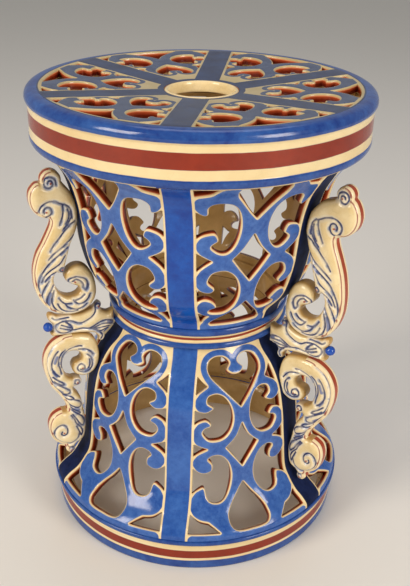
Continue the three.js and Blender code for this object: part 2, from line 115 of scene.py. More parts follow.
def insideLoops(points, loops):
    crossings = np.zeros(len(points), int)
    x, y = points[:, 0], points[:, 1]
    for loop in loops:
        for (ax, ay), (bx, by) in zip(loop, np.roll(loop, -1, 0)):
            if ay == by:
                continue
            spans = (ay > y) != (by > y)
            crossings += spans & (x < ax + (y - ay) * (bx - ax) / (by - ay))
    return crossings % 2 == 1


def fillFlat(outer, holes, spacing, rings=(0.4, 0.9, 1.6), alongOuter=False):
    # triangles over a pierced sheet: dense along the cut edges, even in the fields between
    loops = [outer] + holes
    starts, ends = loopSegments(loops)
    # rows of nearly even triangles, and how near to a cut each kind of point may lie
    rowShare, ringRoom, gridRoom = 0.866, 0.85, 0.55
    candidates = []
    for loop in loops if alongOuter else holes:
        sweep = np.roll(loop, -1, 0) - np.roll(loop, 1, 0)
        normal = np.stack([sweep[:, 1], -sweep[:, 0]], 1)
        normal /= np.maximum(np.linalg.norm(normal, axis=1, keepdims=True), 1e-9)
        for step, offset in enumerate(rings):
            for sign in (-1, 1):
                some = slice(None, None, 1 + step // 2)
                candidates.append((loop[some] + sign * offset * normal[some], offset * ringRoom))
    low, high = outer.min(0), outer.max(0)
    rows = np.arange(low[1] + spacing / 2, high[1], spacing * rowShare)
    grid = [[x + (i % 2) * spacing / 2, y] for i, y in enumerate(rows)
            for x in np.arange(low[0], high[0], spacing)]
    candidates.append((np.array(grid), max(spacing * gridRoom, rings[-1] + spacing * 0.4)))
    kept = []
    for points, room in candidates:
        points = points[insideLoops(points, loops)]
        if len(points):
            kept.append(points[segmentDistance(points, starts, ends) > room])
    corners = np.concatenate(loops + kept)
    edges, first = [], 0
    for loop in loops:
        edges += [(first + i, first + (i + 1) % len(loop)) for i in range(len(loop))]
        first += len(loop)
    made = delaunay_2d_cdt([Vector(p) for p in corners], edges, [], 0, 1e-5)
    flat = np.array([tuple(v) for v in made[0]])
    faces = np.array(made[2])
    middles = flat[faces].mean(1)
    faces = faces[insideLoops(middles, loops)]
    a, b, c = (flat[faces[:, i]] for i in range(3))
    twiceArea = (b[:, 0] - a[:, 0]) * (c[:, 1] - a[:, 1]) - (b[:, 1] - a[:, 1]) * (c[:, 0] - a[:, 0])
    faces[twiceArea < 0] = faces[twiceArea < 0][:, ::-1]
    # points in one line along a straight side leave triangles without any area
    faces = faces[np.abs(twiceArea) > 1e-3]
    used, renumbered = np.unique(faces, return_inverse=True)
    return flat[used], renumbered.reshape(-1, 3)


def rimEdges(faces):
    # edges with a face on one side only
    directed = {(int(p), int(q)) for f in faces for p, q in ((f[0], f[1]), (f[1], f[2]), (f[2], f[0]))}
    return [(p, q) for p, q in directed if (q, p) not in directed]


def cutsAndEnds(faces, edge):
    # the border edges of a pierced sheet: those along its holes and those along its outline
    border = rimEdges(faces)
    cuts = [(p, q) for p, q in border if edge[p] < 1e-3 and edge[q] < 1e-3]
    return cuts, sorted(set(border) - set(cuts))


def pillow(edge, reach, fall):
    # the broad fall of a surface towards its edges
    return fall * (1 - np.clip(edge / reach, 0, 1)) ** 2


def roundedDepth(distance, radius):
    # how far a softened edge falls away, at a distance in from the edge
    near = np.clip(radius - distance, 0, radius)
    return radius - np.sqrt(np.maximum(radius ** 2 - near ** 2, 0))


def thickSheet(flat, faces, front, back, rim, rows=4, ends=()):
    # front and back are the two placed faces; walls of several rows join them along the rim,
    # and plain walls with corners of their own close the ends, so that these don't bend the shading
    count = len(flat)
    points = [front, back]
    index = [*faces.tolist(), *(faces[:, ::-1] + count).tolist()]
    through = [np.zeros(count), np.ones(count)]
    source = [np.arange(count), np.arange(count)]
    onRim = sorted({p for edge in rim for p in edge})
    order = {p: i for i, p in enumerate(onRim)}
    start = 2 * count
    for row in range(1, rows):
        share = row / rows
        points.append(front[onRim] * (1 - share) + back[onRim] * share)
        through.append(np.full(len(onRim), share))
        source.append(np.array(onRim))

    def corner(p, row):
        if row == 0:
            return p
        return p + count if row == rows else start + (row - 1) * len(onRim) + order[p]

    for p, q in rim:
        for row in range(rows):
            index.append([corner(q, row), corner(p, row), corner(p, row + 1), corner(q, row + 1)])
    first = start + (rows - 1) * len(onRim)
    for p, q in ends:
        points.append(np.array([front[p], front[q], back[q], back[p]]))
        through.append(np.array([0.0, 0.0, 1.0, 1.0]))
        source.append(np.array([p, q, q, p]))
        index.append([first + 1, first, first + 3, first + 2])
        first += 4
    return np.concatenate(points), index, np.concatenate(through), np.concatenate(source)


# Meshes and pieces.
def makeMesh(name, points, faces, attributes=None):
    mesh = bpy.data.meshes.new(name)
    mesh.from_pydata((np.asarray(points) * mm).tolist(), [], faces)
    for key, values in (attributes or {}).items():
        layer = mesh.attributes.new(key, "FLOAT", "POINT")
        layer.data.foreach_set("value", np.asarray(values, np.float32))
    mesh.shade_smooth()
    mesh.update()
    return mesh


def addPiece(name, mesh, material, nodes, turn=0.0):
    piece = bpy.data.objects.new(name, mesh)
    bpy.context.scene.collection.objects.link(piece)
    piece.rotation_euler.z = turn
    if not mesh.materials:
        mesh.materials.append(material)
    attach(piece, "root")
    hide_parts(*nodes)
    return piece


def turnedMesh(name, profile, steps, wobble=0.0):
    # a closed profile of radius and height turned round the axis, a little out of true
    count = len(profile)
    angles = np.arange(steps) * math.tau / steps
    uneven = 1 + wobble * (np.sin(2 * angles + 0.7) + 0.5 * np.sin(5 * angles + 2.1))
    radius = np.array([p[0] for p in profile])
    height = np.array([p[1] for p in profile])
    points = np.stack([np.outer(uneven * np.cos(angles), radius), np.outer(uneven * np.sin(angles), radius),
                       np.tile(height, (steps, 1))], 2).reshape(-1, 3)
    faces = []
    for i in range(steps):
        j = (i + 1) % steps
        for k in range(count):
            m = (k + 1) % count
            faces.append([i * count + k, j * count + k, j * count + m, i * count + m])
    return makeMesh(name, points, faces)


# Shader building.
def fromHex(code):
    channels = [int(code[i:i + 2], 16) / 255 for i in (1, 3, 5)]
    return tuple(c / 12.92 if c <= 0.04045 else ((c + 0.055) / 1.055) ** 2.4 for c in channels) + (1.0,)


def addNode(tree, kind, inputs=None, **settings):
    made = tree.nodes.new("ShaderNode" + kind)
    for key, value in settings.items():
        setattr(made, key, value)
    for socket, value in (inputs or {}).items():
        if isinstance(value, str):
            value = fromHex(value)
        if isinstance(value, bpy.types.Node):
            value = next(o for o in value.outputs if o.enabled)
        if isinstance(value, bpy.types.NodeSocket):
            tree.links.new(value, made.inputs[socket])
        else:
            made.inputs[socket].default_value = value
    return made


def calc(tree, operation, *values):
    return addNode(tree, "Math", dict(enumerate(values)), operation=operation)


def times(tree, first, second):
    return calc(tree, "MULTIPLY", first, second)


def mapped(tree, value, low, high, atLow=0.0, atHigh=1.0):
    return addNode(tree, "MapRange", {0: value, 1: low, 2: high, 3: atLow, 4: atHigh})


def stored(tree, key):
    return addNode(tree, "Attribute", attribute_name=key).outputs["Fac"]


def between(tree, value, low, high, soft=0.35):
    # 1 where low < value < high, with a brush-soft edge
    rise = mapped(tree, value, low - soft, low + soft)
    return times(tree, rise, mapped(tree, value, high - soft, high + soft, 1.0, 0.0))


def paintOver(tree, below, colour, mask):
    return addNode(tree, "Mix", {0: mask, 6: below, 7: colour}, data_type="RGBA")


def coats(tree, colour, *laid):
    # each coat is a colour and the places where it is laid on the coats before
    for paint, mask in laid:
        colour = paintOver(tree, colour, paint, mask)
    return colour


def startGlaze(name):
    material = bpy.data.materials.new(name)
    material.use_nodes = True
    tree = material.node_tree
    tree.nodes.clear()
    place = addNode(tree, "NewGeometry").outputs["Position"]
    inMm = addNode(tree, "VectorMath", {0: place, 3: 1 / mm}, operation="SCALE", name="place in mm")
    return material, tree, addNode(tree, "SeparateXYZ", {0: inMm})


def placeInMm(tree):
    return tree.nodes["place in mm"].outputs[0]


def mottle(tree, size, detail=3.0, roughness=0.55, distortion=0.0):
    # noise whose patches are about size millimetres across
    return addNode(tree, "TexNoise", {"Vector": placeInMm(tree), "Scale": 0.6 / size, "Detail": detail,
                                      "Roughness": roughness, "Distortion": distortion}).outputs[0]


def sway(tree, value, size, reach):
    # moves a measured value by up to reach millimetres, as an unsteady brush would
    shift = calc(tree, "MULTIPLY_ADD", mottle(tree, size, 2.0), 2 * reach, -reach)
    return calc(tree, "ADD", value, shift)


def brushedCobalt(tree, deep, pale, patch=14.0):
    # cobalt laid on with a loaded brush: broad pools, short streaks and small dark specks
    pools = mottle(tree, patch, 4.0, 0.6, 0.6)
    streaks = mottle(tree, patch / 5, 3.0, 0.7)
    amount = calc(tree, "MULTIPLY_ADD", streaks, 0.45, times(tree, pools, 0.75))
    colour = paintOver(tree, deep, pale, mapped(tree, amount, 0.42, 0.78))
    specks = mapped(tree, mottle(tree, 1.6, 2.0), 0.68, 0.76, 0.0, 0.35)
    return paintOver(tree, colour, "#0A2458", specks)


def tonedCream(tree, light, dark, patch=22.0):
    tone = mapped(tree, mottle(tree, patch, 4.0), 0.35, 0.7)
    return paintOver(tree, light, dark, tone)


def finishGlaze(tree, colour, roughness=0.13, crazing=0.08, dull=None):
    # fired lead glaze: a clear glossy coat with slow ripples and a faint craze net
    net = addNode(tree, "TexVoronoi", {"Vector": placeInMm(tree), "Scale": 0.16, "Randomness": 1.0},
                  feature="DISTANCE_TO_EDGE").outputs[0]
    crack = mapped(tree, net, 0.0, 0.022, crazing, 0.0)
    colour = paintOver(tree, colour, "#5A4326", crack)
    ripple = mottle(tree, 7.0, 2.0)
    height = times(tree, ripple, 0.2)
    bump = addNode(tree, "Bump", {"Strength": 0.55, "Distance": 0.001, "Height": height})
    gloss = mapped(tree, mottle(tree, 11.0, 3.0), 0.3, 0.75, roughness - 0.03, roughness + 0.09)
    sockets = {"Base Color": colour, "Roughness": gloss, "IOR": 1.5, "Normal": bump}
    if dull is not None:
        # duller, less reflective glaze where the mask lies; it is laid over the painted shade behind the
        # brackets
        sockets["Roughness"] = calc(tree, "MULTIPLY_ADD", dull, 0.4, gloss)
        sockets["Specular IOR Level"] = calc(tree, "MULTIPLY_ADD", dull, -0.42, 0.5)
    shader = addNode(tree, "BsdfPrincipled", sockets)
    addNode(tree, "OutputMaterial", {"Surface": shader})


creamLight, creamDark = "#F0DDB0", "#E2C893"
tanLight, tanDark = "#D6B57C", "#B4925A"
redLight, redDark = "#9C2E08", "#6C1703"


# Pierced walls. The cut edges carry a cream line, the cuts themselves are iron red.
piercedPaint = dict(creamLine=1.2, railLine=2.4, headRound=5.5)


def roundedField(tree, first, second, radius):
    # distance into a field between two borders, its corners rounded off as a brush leaves them
    short = [calc(tree, "POWER", calc(tree, "MAXIMUM", calc(tree, "SUBTRACT", radius, value), 0.0), 2.0)
             for value in (first, second)]
    return calc(tree, "SUBTRACT", radius, calc(tree, "SQRT", calc(tree, "ADD", *short)))


def cutPaint(tree, colour, through, light, dark):
    # iron-red slip brushed into the cuts: orange by the cream line, darker deeper into the cut
    drawn = sway(tree, through, 5.0, 0.05)
    depth = mapped(tree, drawn, 0.15, 0.6)
    patchy = calc(tree, "MULTIPLY_ADD", mottle(tree, 7.0, 4.0), 0.8, calc(tree, "ADD", depth, -0.4))
    red = paintOver(tree, light, dark, mapped(tree, patchy, 0.0, 1.0))
    return coats(tree, colour, ("#E09468", between(tree, through, 0.03, 0.98, 0.02)),
                 (red, between(tree, drawn, 0.16, 0.97, 0.05)))


def flatRadiusOf(tree, axes):
    squares = [calc(tree, "POWER", axes.outputs[k], 2.0) for k in (0, 1)]
    return calc(tree, "SQRT", calc(tree, "ADD", *squares))


def fromNearestBar(tree, axes, count):
    # millimetres sideways from the nearest of count bars, one of which stands at the back
    turn = calc(tree, "SUBTRACT", calc(tree, "ARCTAN2", axes.outputs[1], axes.outputs[0]), math.pi / 2)
    folded = calc(tree, "WRAP", turn, math.pi / count, -math.pi / count)
    return calc(tree, "ABSOLUTE", times(tree, folded, flatRadiusOf(tree, axes)))


def piercedGlaze(name, deep, pale, field=None):
    material, tree, axes = startGlaze(name)
    edge, through, bar = [stored(tree, key) for key in ("edge", "through", "bar")]
    edgeDrawn = sway(tree, edge, 9.0, 0.3)
    barDrawn = sway(tree, bar, 16.0, 0.35)
    strandIn = roundedField(tree, calc(tree, "SUBTRACT", edgeDrawn, piercedPaint["creamLine"]),
                            calc(tree, "SUBTRACT", barDrawn, 0.1), piercedPaint["headRound"])
    strand = between(tree, strandIn, 0.0, 99.0, 0.3)
    if field:
        strand = times(tree, strand, calc(tree, "SUBTRACT", 1.0, field(tree, axes)))
    # the strand's blue is thinner and lighter along the cream line
    strandBlue = paintOver(tree, brushedCobalt(tree, "#1F4C9C", "#4470BA", 11.0), "#6A88C2",
                           mapped(tree, edgeDrawn, 1.2, 3.6, 0.4, 0.0))
    # painted shade: the bars behind the three brackets are laid in near-black navy, for the shade and dark
    # reflections they lie in
    bracketShade = between(tree, fromNearestBar(tree, axes, 3), -1.0, 14.0, 0.6)
    barBlue = paintOver(tree, brushedCobalt(tree, deep, pale, 20.0),
                        brushedCobalt(tree, "#0A1330", "#1C2A56", 20.0), bracketShade)
    colour = coats(tree, tonedCream(tree, creamLight, creamDark), (strandBlue, strand),
                   (barBlue, between(tree, barDrawn, -50.0, -piercedPaint["railLine"], 0.25)))
    colour = cutPaint(tree, colour, through, "#AE4420", "#561508")
    colour = paintOver(tree, colour, tonedCream(tree, tanLight, tanDark),
                       between(tree, through, 0.97, 2.0, 0.02))
    # the glaze is dulled over the painted shade on these bars, so that it shows no reflection
    finishGlaze(tree, colour, dull=times(tree, bracketShade, between(tree, bar, -50.0, 0.0)))
    return material


# The drums' flat sheets: x to each side of a segment's middle, y up from the drum's foot.
# edgeX is where the field meets the bar, railHalf is half the bar with its edge lines.
wallThickness = 9.0
railHalf = 15.2
edgeX = 53.0
# the radius of wall at which a sheet is drawn at its true width
trueWidthAt = 115
softEdge = dict(front=1.3, back=1.0, reach=5.5, fall=0.45)


def notch(high, above, tip, below, low):
    # a pointed hole that opens sideways from a bar, the same on both sides
    return bothSides(closedBack([[[edgeX, high], above, tip], [tip, below, [edgeX, low]]]))


def scrollRuns(upperCurl, bowl, lowerCurl, span=(95, 262)):
    return [upperCurl + arcPoints(*bowl, span[0], span[1], 8) + lowerCurl,
            [lowerCurl[-1], upperCurl[0]]]


upperDrum = dict(
    base=257.3, height=180.0, small=97.5, large=163.0,
    shares=[[0, 0], [0.06, 0.06], [0.155, 0.27], [0.255, 0.4], [0.41, 0.5], [0.63, 0.57],
            [0.79, 0.68], [0.89, 0.83], [0.95, 0.95], [1, 1]],
    holes=[
        onMiddle([[[0, 134], [7, 142.5], [13.5, 152], [19.5, 161.5]],
                  [[19.5, 161.5], [20.5, 168], [17, 173.4]], [[17, 173.4], [0, 173.4]]]),
        onMiddle([[[0, 67], [9.3, 79], [18.7, 92]], [[18.7, 92], [8.5, 103], [0, 117.5]]]),
        onMiddle([[[0, 5.5], [37, 5.5]], [[37, 5.5], [39.5, 7.5]],
                  [[39.5, 7.5], [23.3, 20], [9.3, 31.5], [0, 41]]]),
        *bothSides(closedBack([[[edgeX, 173.4], [27, 173.4]],
                              [[27, 173.4], [33, 171.6], [37.5, 167.6], [41, 164.4], [edgeX, 161.5]]])),
        *notch(99.5, [45.2, 94.6], [38.3, 91], [45.4, 86], 79.5),
        *bothSides(closedBack([[[edgeX, 26.5], [46.5, 23.2], [40.5, 21.5]],
                               [[40.5, 21.5], [46, 16], [50.5, 9.5]], [[50.5, 9.5], [edgeX, 9.5]]])),
        *bothSides(scrollRuns(
            [[edgeX, 144], [46, 139.8], [42.5, 141.5], [42, 149], [36.7, 153.4]], (28.5, 126, 14.7, 27.4),
            [[33, 100], [39.5, 105.5], [37.5, 109], [33, 113], [36.5, 120.3], [46, 119], [edgeX, 115]])),
        *bothSides(scrollRuns(
            [[edgeX, 59], [46, 55.5], [39, 55], [35, 59.5], [41.5, 66.5], [40.5, 73], [36, 78.3]],
            (28.5, 52.8, 19, 27.2),
            [[36.7, 26], [40.8, 29.5], [38, 33], [32, 36], [37, 43.5], [45, 46.3], [edgeX, 43]])),
    ])
lowerDrum = dict(
    base=40.3, height=192.4, small=91.5, large=168.5,
    shares=[[0, 1], [0.03, 0.99], [0.065, 0.91], [0.1, 0.79], [0.155, 0.68], [0.24, 0.58],
            [0.44, 0.525], [0.64, 0.46], [0.765, 0.375], [0.86, 0.25], [0.935, 0.08], [1, 0]],
    holes=[
        onMiddle([[[0, 136], [10.2, 146.5], [22.5, 157.5], [35, 167], [39.8, 174], [36.5, 179.8],
                   [26, 182.6], [14, 181.8], [6.6, 177], [12.5, 172], [6.5, 168.4], [0, 167.6]]]),
        onMiddle([[[0, 66], [9, 79], [18.3, 91.5]], [[18.3, 91.5], [7, 103], [0, 118]]]),
        onMiddle([[[0, 7.5], [8.5, 7.5], [14.2, 9], [17.6, 13.5], [17.8, 20], [13.6, 28], [6.9, 37],
                   [0, 47]]]),
        *notch(168, [45, 162.5], [39.3, 159], [45.5, 155.5], 151),
        *notch(97, [44.8, 93.4], [38.3, 91], [45.2, 87.6], 82.5),
        *bothSides(closedBack([[[edgeX, 21], [45.5, 17], [36.5, 15.3]],
                               [[36.5, 15.3], [31.6, 12], [26.7, 7.5]], [[26.7, 7.5], [edgeX, 7.5]]])),
        *bothSides(scrollRuns(
            [[edgeX, 135.5], [46, 133], [39.2, 132.8], [32, 137.5], [39, 142.5], [38.5, 148.5], [34, 150.7]],
            (29, 126, 18.8, 25.2),
            [[37, 101.6], [43.6, 109.5], [41.5, 114.8], [34.5, 118.5], [40, 124.5], [47.5, 123],
             [edgeX, 119.5]])),
        *bothSides(scrollRuns(
            [[edgeX, 67.5], [46.5, 62.5], [40, 61.4], [33, 65], [33, 73], [37.3, 78.5], [34, 82]],
            (28.5, 56.3, 15.7, 26.8),
            [[33.5, 30.6], [37.8, 34.5], [41.2, 44.5], [47.3, 42.5], [edgeX, 38.5]])),
    ])


def wallSamples(drum):
    line = np.array(smoothThrough([[drum["base"] + up * drum["height"],
                                    drum["small"] + out * (drum["large"] - drum["small"])]
                                   for up, out in drum["shares"]], 0.5))
    slope = np.gradient(line[:, 1], line[:, 0])
    return line[:, 0], line[:, 1], slope


def onDrum(drum, flat, depth):
    heights, radii, slopes = wallSamples(drum)
    z = drum["base"] + np.clip(flat[:, 1], 0, drum["height"])
    radius = np.interp(z, heights, radii)
    slope = np.interp(z, heights, slopes)
    length = np.sqrt(1 + slope ** 2)
    # the field keeps its drawn shape between two bars of even width
    half = segmentTurn / 2
    openHalf = half - np.arcsin(railHalf / radius)
    across = np.abs(flat[:, 0])
    past = np.clip((across - edgeX) / railHalf, 0, 1)
    angle = np.sign(flat[:, 0]) * (openHalf * np.minimum(across, edgeX) / edgeX + (half - openHalf) * past)
    fromEnd = np.minimum(flat[:, 1], drum["height"] - flat[:, 1])
    tilt = np.clip(fromEnd / wallThickness, 0, 1)
    reach = radius - depth * (tilt / length + (1 - tilt))
    rise = depth * tilt * slope / length
    return np.stack([reach * np.cos(angle), reach * np.sin(angle), z + rise], 1)


def drumMesh(name, drum):
    holes = [closedOutline(runs) for runs in drum["holes"]]
    seam, height = edgeX + railHalf, drum["height"]
    sidePoints, endPoints = 90, 62
    side = [[seam, y] for y in np.linspace(0, height, sidePoints)]
    ends = np.linspace(-seam, seam, endPoints)[1:-1]
    outer = np.array([[x, 0] for x in ends] + side
                     + [[x, height] for x in np.linspace(seam, -seam, endPoints)[1:-1]]
                     + [[-x, y] for x, y in reversed(side)])
    flat, faces = fillFlat(outer, holes, spacing=2.3)
    placed = onDrum(drum, flat, np.zeros(len(flat)))
    cuts = [onDrum(drum, hole, np.zeros(len(hole))) for hole in holes]
    edge = segmentDistance(placed, *loopSegments(cuts))
    heart = segmentDistance(placed, *loopSegments(cuts[:1]))
    front = onDrum(drum, flat, roundedDepth(edge, softEdge["front"])
                   + pillow(edge, softEdge["reach"], softEdge["fall"]))
    back = onDrum(drum, flat, wallThickness - roundedDepth(edge, softEdge["back"]))
    rim, ends = cutsAndEnds(faces, edge)
    points, index, through, source = thickSheet(flat, faces, front, back, rim, ends=ends)
    radius = np.hypot(placed[:, 0], placed[:, 1])
    # distance in from the bar's edge, below zero on the bar
    fromBar = edgeX - np.abs(flat[:, 0])
    fromBar = np.where(fromBar < 0, fromBar, fromBar * radius / trueWidthAt)
    mesh = makeMesh(name, points, index, {"edge": edge[source], "through": through,
                                          "heart": heart[source], "bar": fromBar[source]})
    # neighbours share a normal where they meet in the middle of a bar
    normals = np.zeros(len(points) * 3, np.float32)
    mesh.vertices.foreach_get("normal", normals)
    normals = normals.reshape(-1, 3)
    onSeam = np.abs(np.abs(flat[source][:, 0]) - seam) < 1e-4
    onSeam[2 * len(flat):] = False
    sides = np.sign(flat[source][:, 0])
    across = np.stack([-np.sin(sides * segmentTurn / 2), np.cos(segmentTurn / 2) + 0 * sides, 0 * sides], 1)
    level = normals - (normals * across).sum(1, keepdims=True) * across
    normals[onSeam] = level[onSeam]
    normals /= np.maximum(np.linalg.norm(normals, axis=1, keepdims=True), 1e-9)
    mesh.normals_split_custom_set_from_vertices(normals.tolist())
    return mesh


def lowerField(tree, axes):
    # plain cream corners between the waist and the blue strand that frames each heart
    high = between(tree, axes.outputs[2], 200.5, 260.0, 1.0)
    heart = stored(tree, "heart")
    return times(tree, high, between(tree, sway(tree, heart, 9.0, 0.3), 7.4, 99.0))


drums = [
    dict(name="upper_segment", shape=upperDrum,
         glaze=piercedGlaze("cobalt and cream glaze over pressed earthenware, upper",
                            "#003692", "#0E55B4")),
    dict(name="lower_segment", shape=lowerDrum,
         glaze=piercedGlaze("cobalt and cream glaze over pressed earthenware, lower",
                            "#1A4A9C", "#3A6AB8", lowerField)),
]
for drum in drums:
    mesh = drumMesh(drum["name"], drum["shape"])
    for i in range(6):
        node = f"{drum['name']}_{i + 1}"
        addPiece(f"{node}_glazed", mesh, drum["glaze"], [node],
                 frontBar + (i + 0.5) * segmentTurn)
    print(drum["name"], len(mesh.vertices), "points in each segment")


# Turned rings, their stripes laid on by height while the ring turns under the brush.
def stripedGlaze(name, stripes, inside, underline=None):
    material, tree, axes = startGlaze(name)
    z = sway(tree, axes.outputs[2], 30.0, 0.7)
    z = sway(tree, z, 5.0, 0.16)
    colours = {
        "blue": brushedCobalt(tree, "#0A3180", "#2F5CA6", 20.0),
        "cream": tonedCream(tree, creamLight, creamDark, 40.0),
        "red": paintOver(tree, redLight, redDark, mottle(tree, 16.0, 5.0, 0.65, 0.4)),
    }
    colour = coats(tree, colours["blue"], *[(colours[kind], between(tree, z, low, high, 0.3))
                                            for low, high, kind in stripes])
    if underline:
        # a cream line under the roll, over the openings only
        overOpenings = between(tree, fromNearestBar(tree, axes, 6), 15.0, 200.0)
        underRoll = between(tree, z, 400.0, underline, 0.3)
        colour = paintOver(tree, colour, colours["cream"], times(tree, overOpenings, underRoll))
    within = between(tree, flatRadiusOf(tree, axes), -5.0, inside["radius"], 0.4)
    below = between(tree, axes.outputs[2], -5.0, inside["top"], 0.4)
    colour = paintOver(tree, colour, tonedCream(tree, tanLight, tanDark), times(tree, within, below))
    finishGlaze(tree, colour)
    return material


def ringProfile(runs, spacing=0.8):
    return [p for run in runs for p in smoothThrough(run, spacing)[:-1]]


rings = [
    dict(node="rim_band", slot="striped_glaze", steps=300,
         profile=ringProfile([
             [[164.6, 432.4], [168.2, 432.2], [170.7, 433.4], [172.3, 436.0], [172.7, 439.2], [172.4, 441.8],
              [172.1, 443.5], [172.1, 452], [172.2, 461], [172.3, 469.4], [172.8, 472.2], [174.0, 473.8],
              [174.9, 476], [174.9, 478.4], [173.6, 481.6], [170.8, 484.0], [167.2, 484.9], [163.2, 485.0],
              [161.95, 484.95]],
             [[161.95, 484.95], [161.9, 474.0]],
             [[161.9, 474.0], [157.2, 473.0], [156.9, 471], [158.2, 465]],
             [[158.2, 465], [160.2, 456], [160.2, 444], [156.5, 439], [154.4, 437.7], [164.6, 437.7]],
             [[164.6, 437.7], [164.6, 432.4]]]),
         glaze=stripedGlaze("striped glaze on the rim", [(441.8, 450.9, "cream"), (450.9, 466.0, "red"),
                                                         (466.0, 474.2, "cream")],
                            dict(radius=161.2, top=484.0), underline=433.9)),
    dict(node="waist_ring", slot="striped_glaze", steps=240,
         profile=ringProfile([
             [[82.7, 233.3], [95.2, 233.4], [98.2, 234.3], [99.0, 236.8], [98.2, 239.2], [95.9, 240.8],
              [94.7, 242.6], [94.7, 246.0], [95.9, 248.2], [98.4, 249.4], [99.2, 251.8], [99.3, 254.2],
              [98.5, 256.2], [96, 256.9], [84.7, 256.9]],
             [[84.7, 256.9], [83.4, 250], [83.4, 240], [82.7, 233.3]]]),
         glaze=stripedGlaze("striped glaze on the waist", [(240.4, 249.0, "cream"), (242.8, 245.6, "red")],
                            dict(radius=90.0, top=258.0))),
    dict(node="foot_ring", slot="striped_glaze", steps=300,
         profile=ringProfile([
             [[152.2, 0.1], [163.6, 0.1], [165.3, 0.9], [166, 3.2], [165.9, 12], [165.6, 26], [165.8, 31],
              [166.9, 33.4], [169.4, 34.7], [170.3, 36.8], [170.1, 38.8], [168.9, 39.9], [159.7, 39.9]],
             [[159.7, 39.9], [156, 36], [152.8, 28.5], [152.2, 16], [152.2, 0.1]]]),
         glaze=stripedGlaze("striped glaze on the foot", [(11.4, 14.6, "cream"), (14.6, 24.7, "red"),
                                                          (24.7, 33.6, "cream")],
                            dict(radius=159.0, top=42.0))),
]
for ring in rings:
    mesh = turnedMesh(ring["node"], ring["profile"], ring["steps"], wobble=0.0004)
    addPiece(f"{ring['node']}_glazed", mesh, ring["glaze"], [ring["node"]])
print("rings turned")


# The top: six pierced sectors with their bars, welded into one plate.
plate = dict(radius=162.1, top=485.0, thickness=10.0, dish=9.0, flatFrom=156.5, hub=37.8, reach=157.5,
             front=1.2, back=1.0, fallReach=5.0, fall=0.4)


def barEdgeAt(along):
    # a place on the edge of a bar, its distance taken along the bar's middle line
    half = segmentTurn / 2
    return [along * math.cos(half) + railHalf * math.sin(half),
            along * math.sin(half) - railHalf * math.cos(half)]


def onCircle(radius, angle):
    return [radius * math.cos(angle), radius * math.sin(angle)]


def rimAt(degrees):
    return onCircle(plate["reach"], math.radians(degrees))


def swappedRuns(runs):
    return [[[y, x] for x, y in run] for run in runs]


rimCorner = barEdgeAt(math.sqrt(plate["reach"] ** 2 - railHalf ** 2))
cornerAngle = math.degrees(math.atan2(rimCorner[1], rimCorner[0]))
sectorHoles = [
    swappedRuns(onMiddle(swappedRuns(
        [[[102, 0], [95, 9], [86, 16.3], [77, 19.3], [69.5, 17.3], [66, 12], [68, 6.8], [74, 8], [79, 5.3],
          [80, 0]]]))),
    swappedRuns(onMiddle(swappedRuns(
        [[rimAt(0), rimAt(3), rimAt(7), rimAt(10.5)],
         [rimAt(10.5), [151, 23], [145, 14], [136, 5], [128, 0]]]))),
] + [swappedRuns(runs) for shape in (
    [[rimCorner, barEdgeAt(142)], [barEdgeAt(142), [140, 55.5], rimAt(18.5)],
     [rimAt(18.5), rimAt(21.5), rimAt(cornerAngle)]],
    closedBack([[barEdgeAt(86), [88.6, 30.6], [93, 27.5]], [[93, 27.5], [95.2, 32], barEdgeAt(101)]]),
    closedBack([[barEdgeAt(119), [109.5, 42], [112.5, 38], [108.5, 35], [104.5, 37], [101, 33.5]]
                + arcPoints(118.5, 31, 18, 18.5, 190, 350, 8)
                + [[136.3, 36.5], [133, 43], [127.5, 40.5], [122.8, 41.5], [123.5, 46.5], barEdgeAt(130)]]),
) for runs in bothSides(swappedRuns(shape))]


def dishAt(radius):
    return plate["dish"] * np.clip(1 - radius / plate["flatFrom"], 0, 1)


def plateMesh():
    half = segmentTurn / 2
    holes = [closedOutline(runs) for runs in sectorHoles]
    along = np.linspace(plate["hub"], plate["radius"], 60)
    lower = [[r * math.cos(half), -r * math.sin(half)] for r in along]
    rimArc = [onCircle(plate["radius"], a) for a in np.linspace(-half, half, 75)]
    hubArc = [onCircle(plate["hub"], a) for a in np.linspace(half, -half, 19)]
    outer = np.array(lower + rimArc[1:-1] + [[x, -y] for x, y in reversed(lower)] + hubArc[1:-1])
    flat, faces = fillFlat(outer, holes, spacing=2.2)
    edge = segmentDistance(flat, *loopSegments(holes))
    radius = np.hypot(flat[:, 0], flat[:, 1])
    top = plate["top"] - dishAt(radius)
    front = np.column_stack([flat, top - roundedDepth(edge, plate["front"])
                             - pillow(edge, plate["fallReach"], plate["fall"])])
    back = np.column_stack([flat, top - plate["thickness"] + roundedDepth(edge, plate["back"])])
    rim, ends = cutsAndEnds(faces, edge)
    fromSeam = radius * np.sin(half - np.abs(np.arctan2(flat[:, 1], flat[:, 0])))
    ends = [(p, q) for p, q in ends if max(fromSeam[p], fromSeam[q]) > 1e-3]
    points, index, through, source = thickSheet(flat, faces, front, back, rim, ends=ends)
    # only the corners of the end walls are kept apart when the sectors are welded
    apart = np.maximum(np.arange(len(points)) - (len(points) - 4 * len(ends)) + 1, 0)
    fromBar = fromSeam - railHalf
    sectors, sectorFaces = [], []
    for i in range(6):
        angle = frontBar + (i + 0.5) * segmentTurn
        cos, sin = math.cos(angle), math.sin(angle)
        sectors.append(points @ np.array([[cos, sin, 0], [-sin, cos, 0], [0, 0, 1]]))
        sectorFaces += [[c + i * len(points) for c in face] for face in index]
    everything = np.concatenate(sectors)
    # points within one small cell are one point; the shift keeps round sizes off the cells' borders
    weldCell, weldShift = 0.02, 0.371
    cells = np.column_stack([np.round(everything / weldCell + weldShift).astype(int), np.tile(apart, 6)])
    _, first, merged = np.unique(cells, axis=0, return_index=True, return_inverse=True)
    merged = merged.ravel()
    faceList = [[int(merged[c]) for c in face] for face in sectorFaces]
    values = {"edge": np.tile(edge[source], 6)[first], "through": np.tile(through, 6)[first],
              "bar": np.tile(fromBar[source], 6)[first]}
    return makeMesh("top_plate", everything[first], faceList, values)


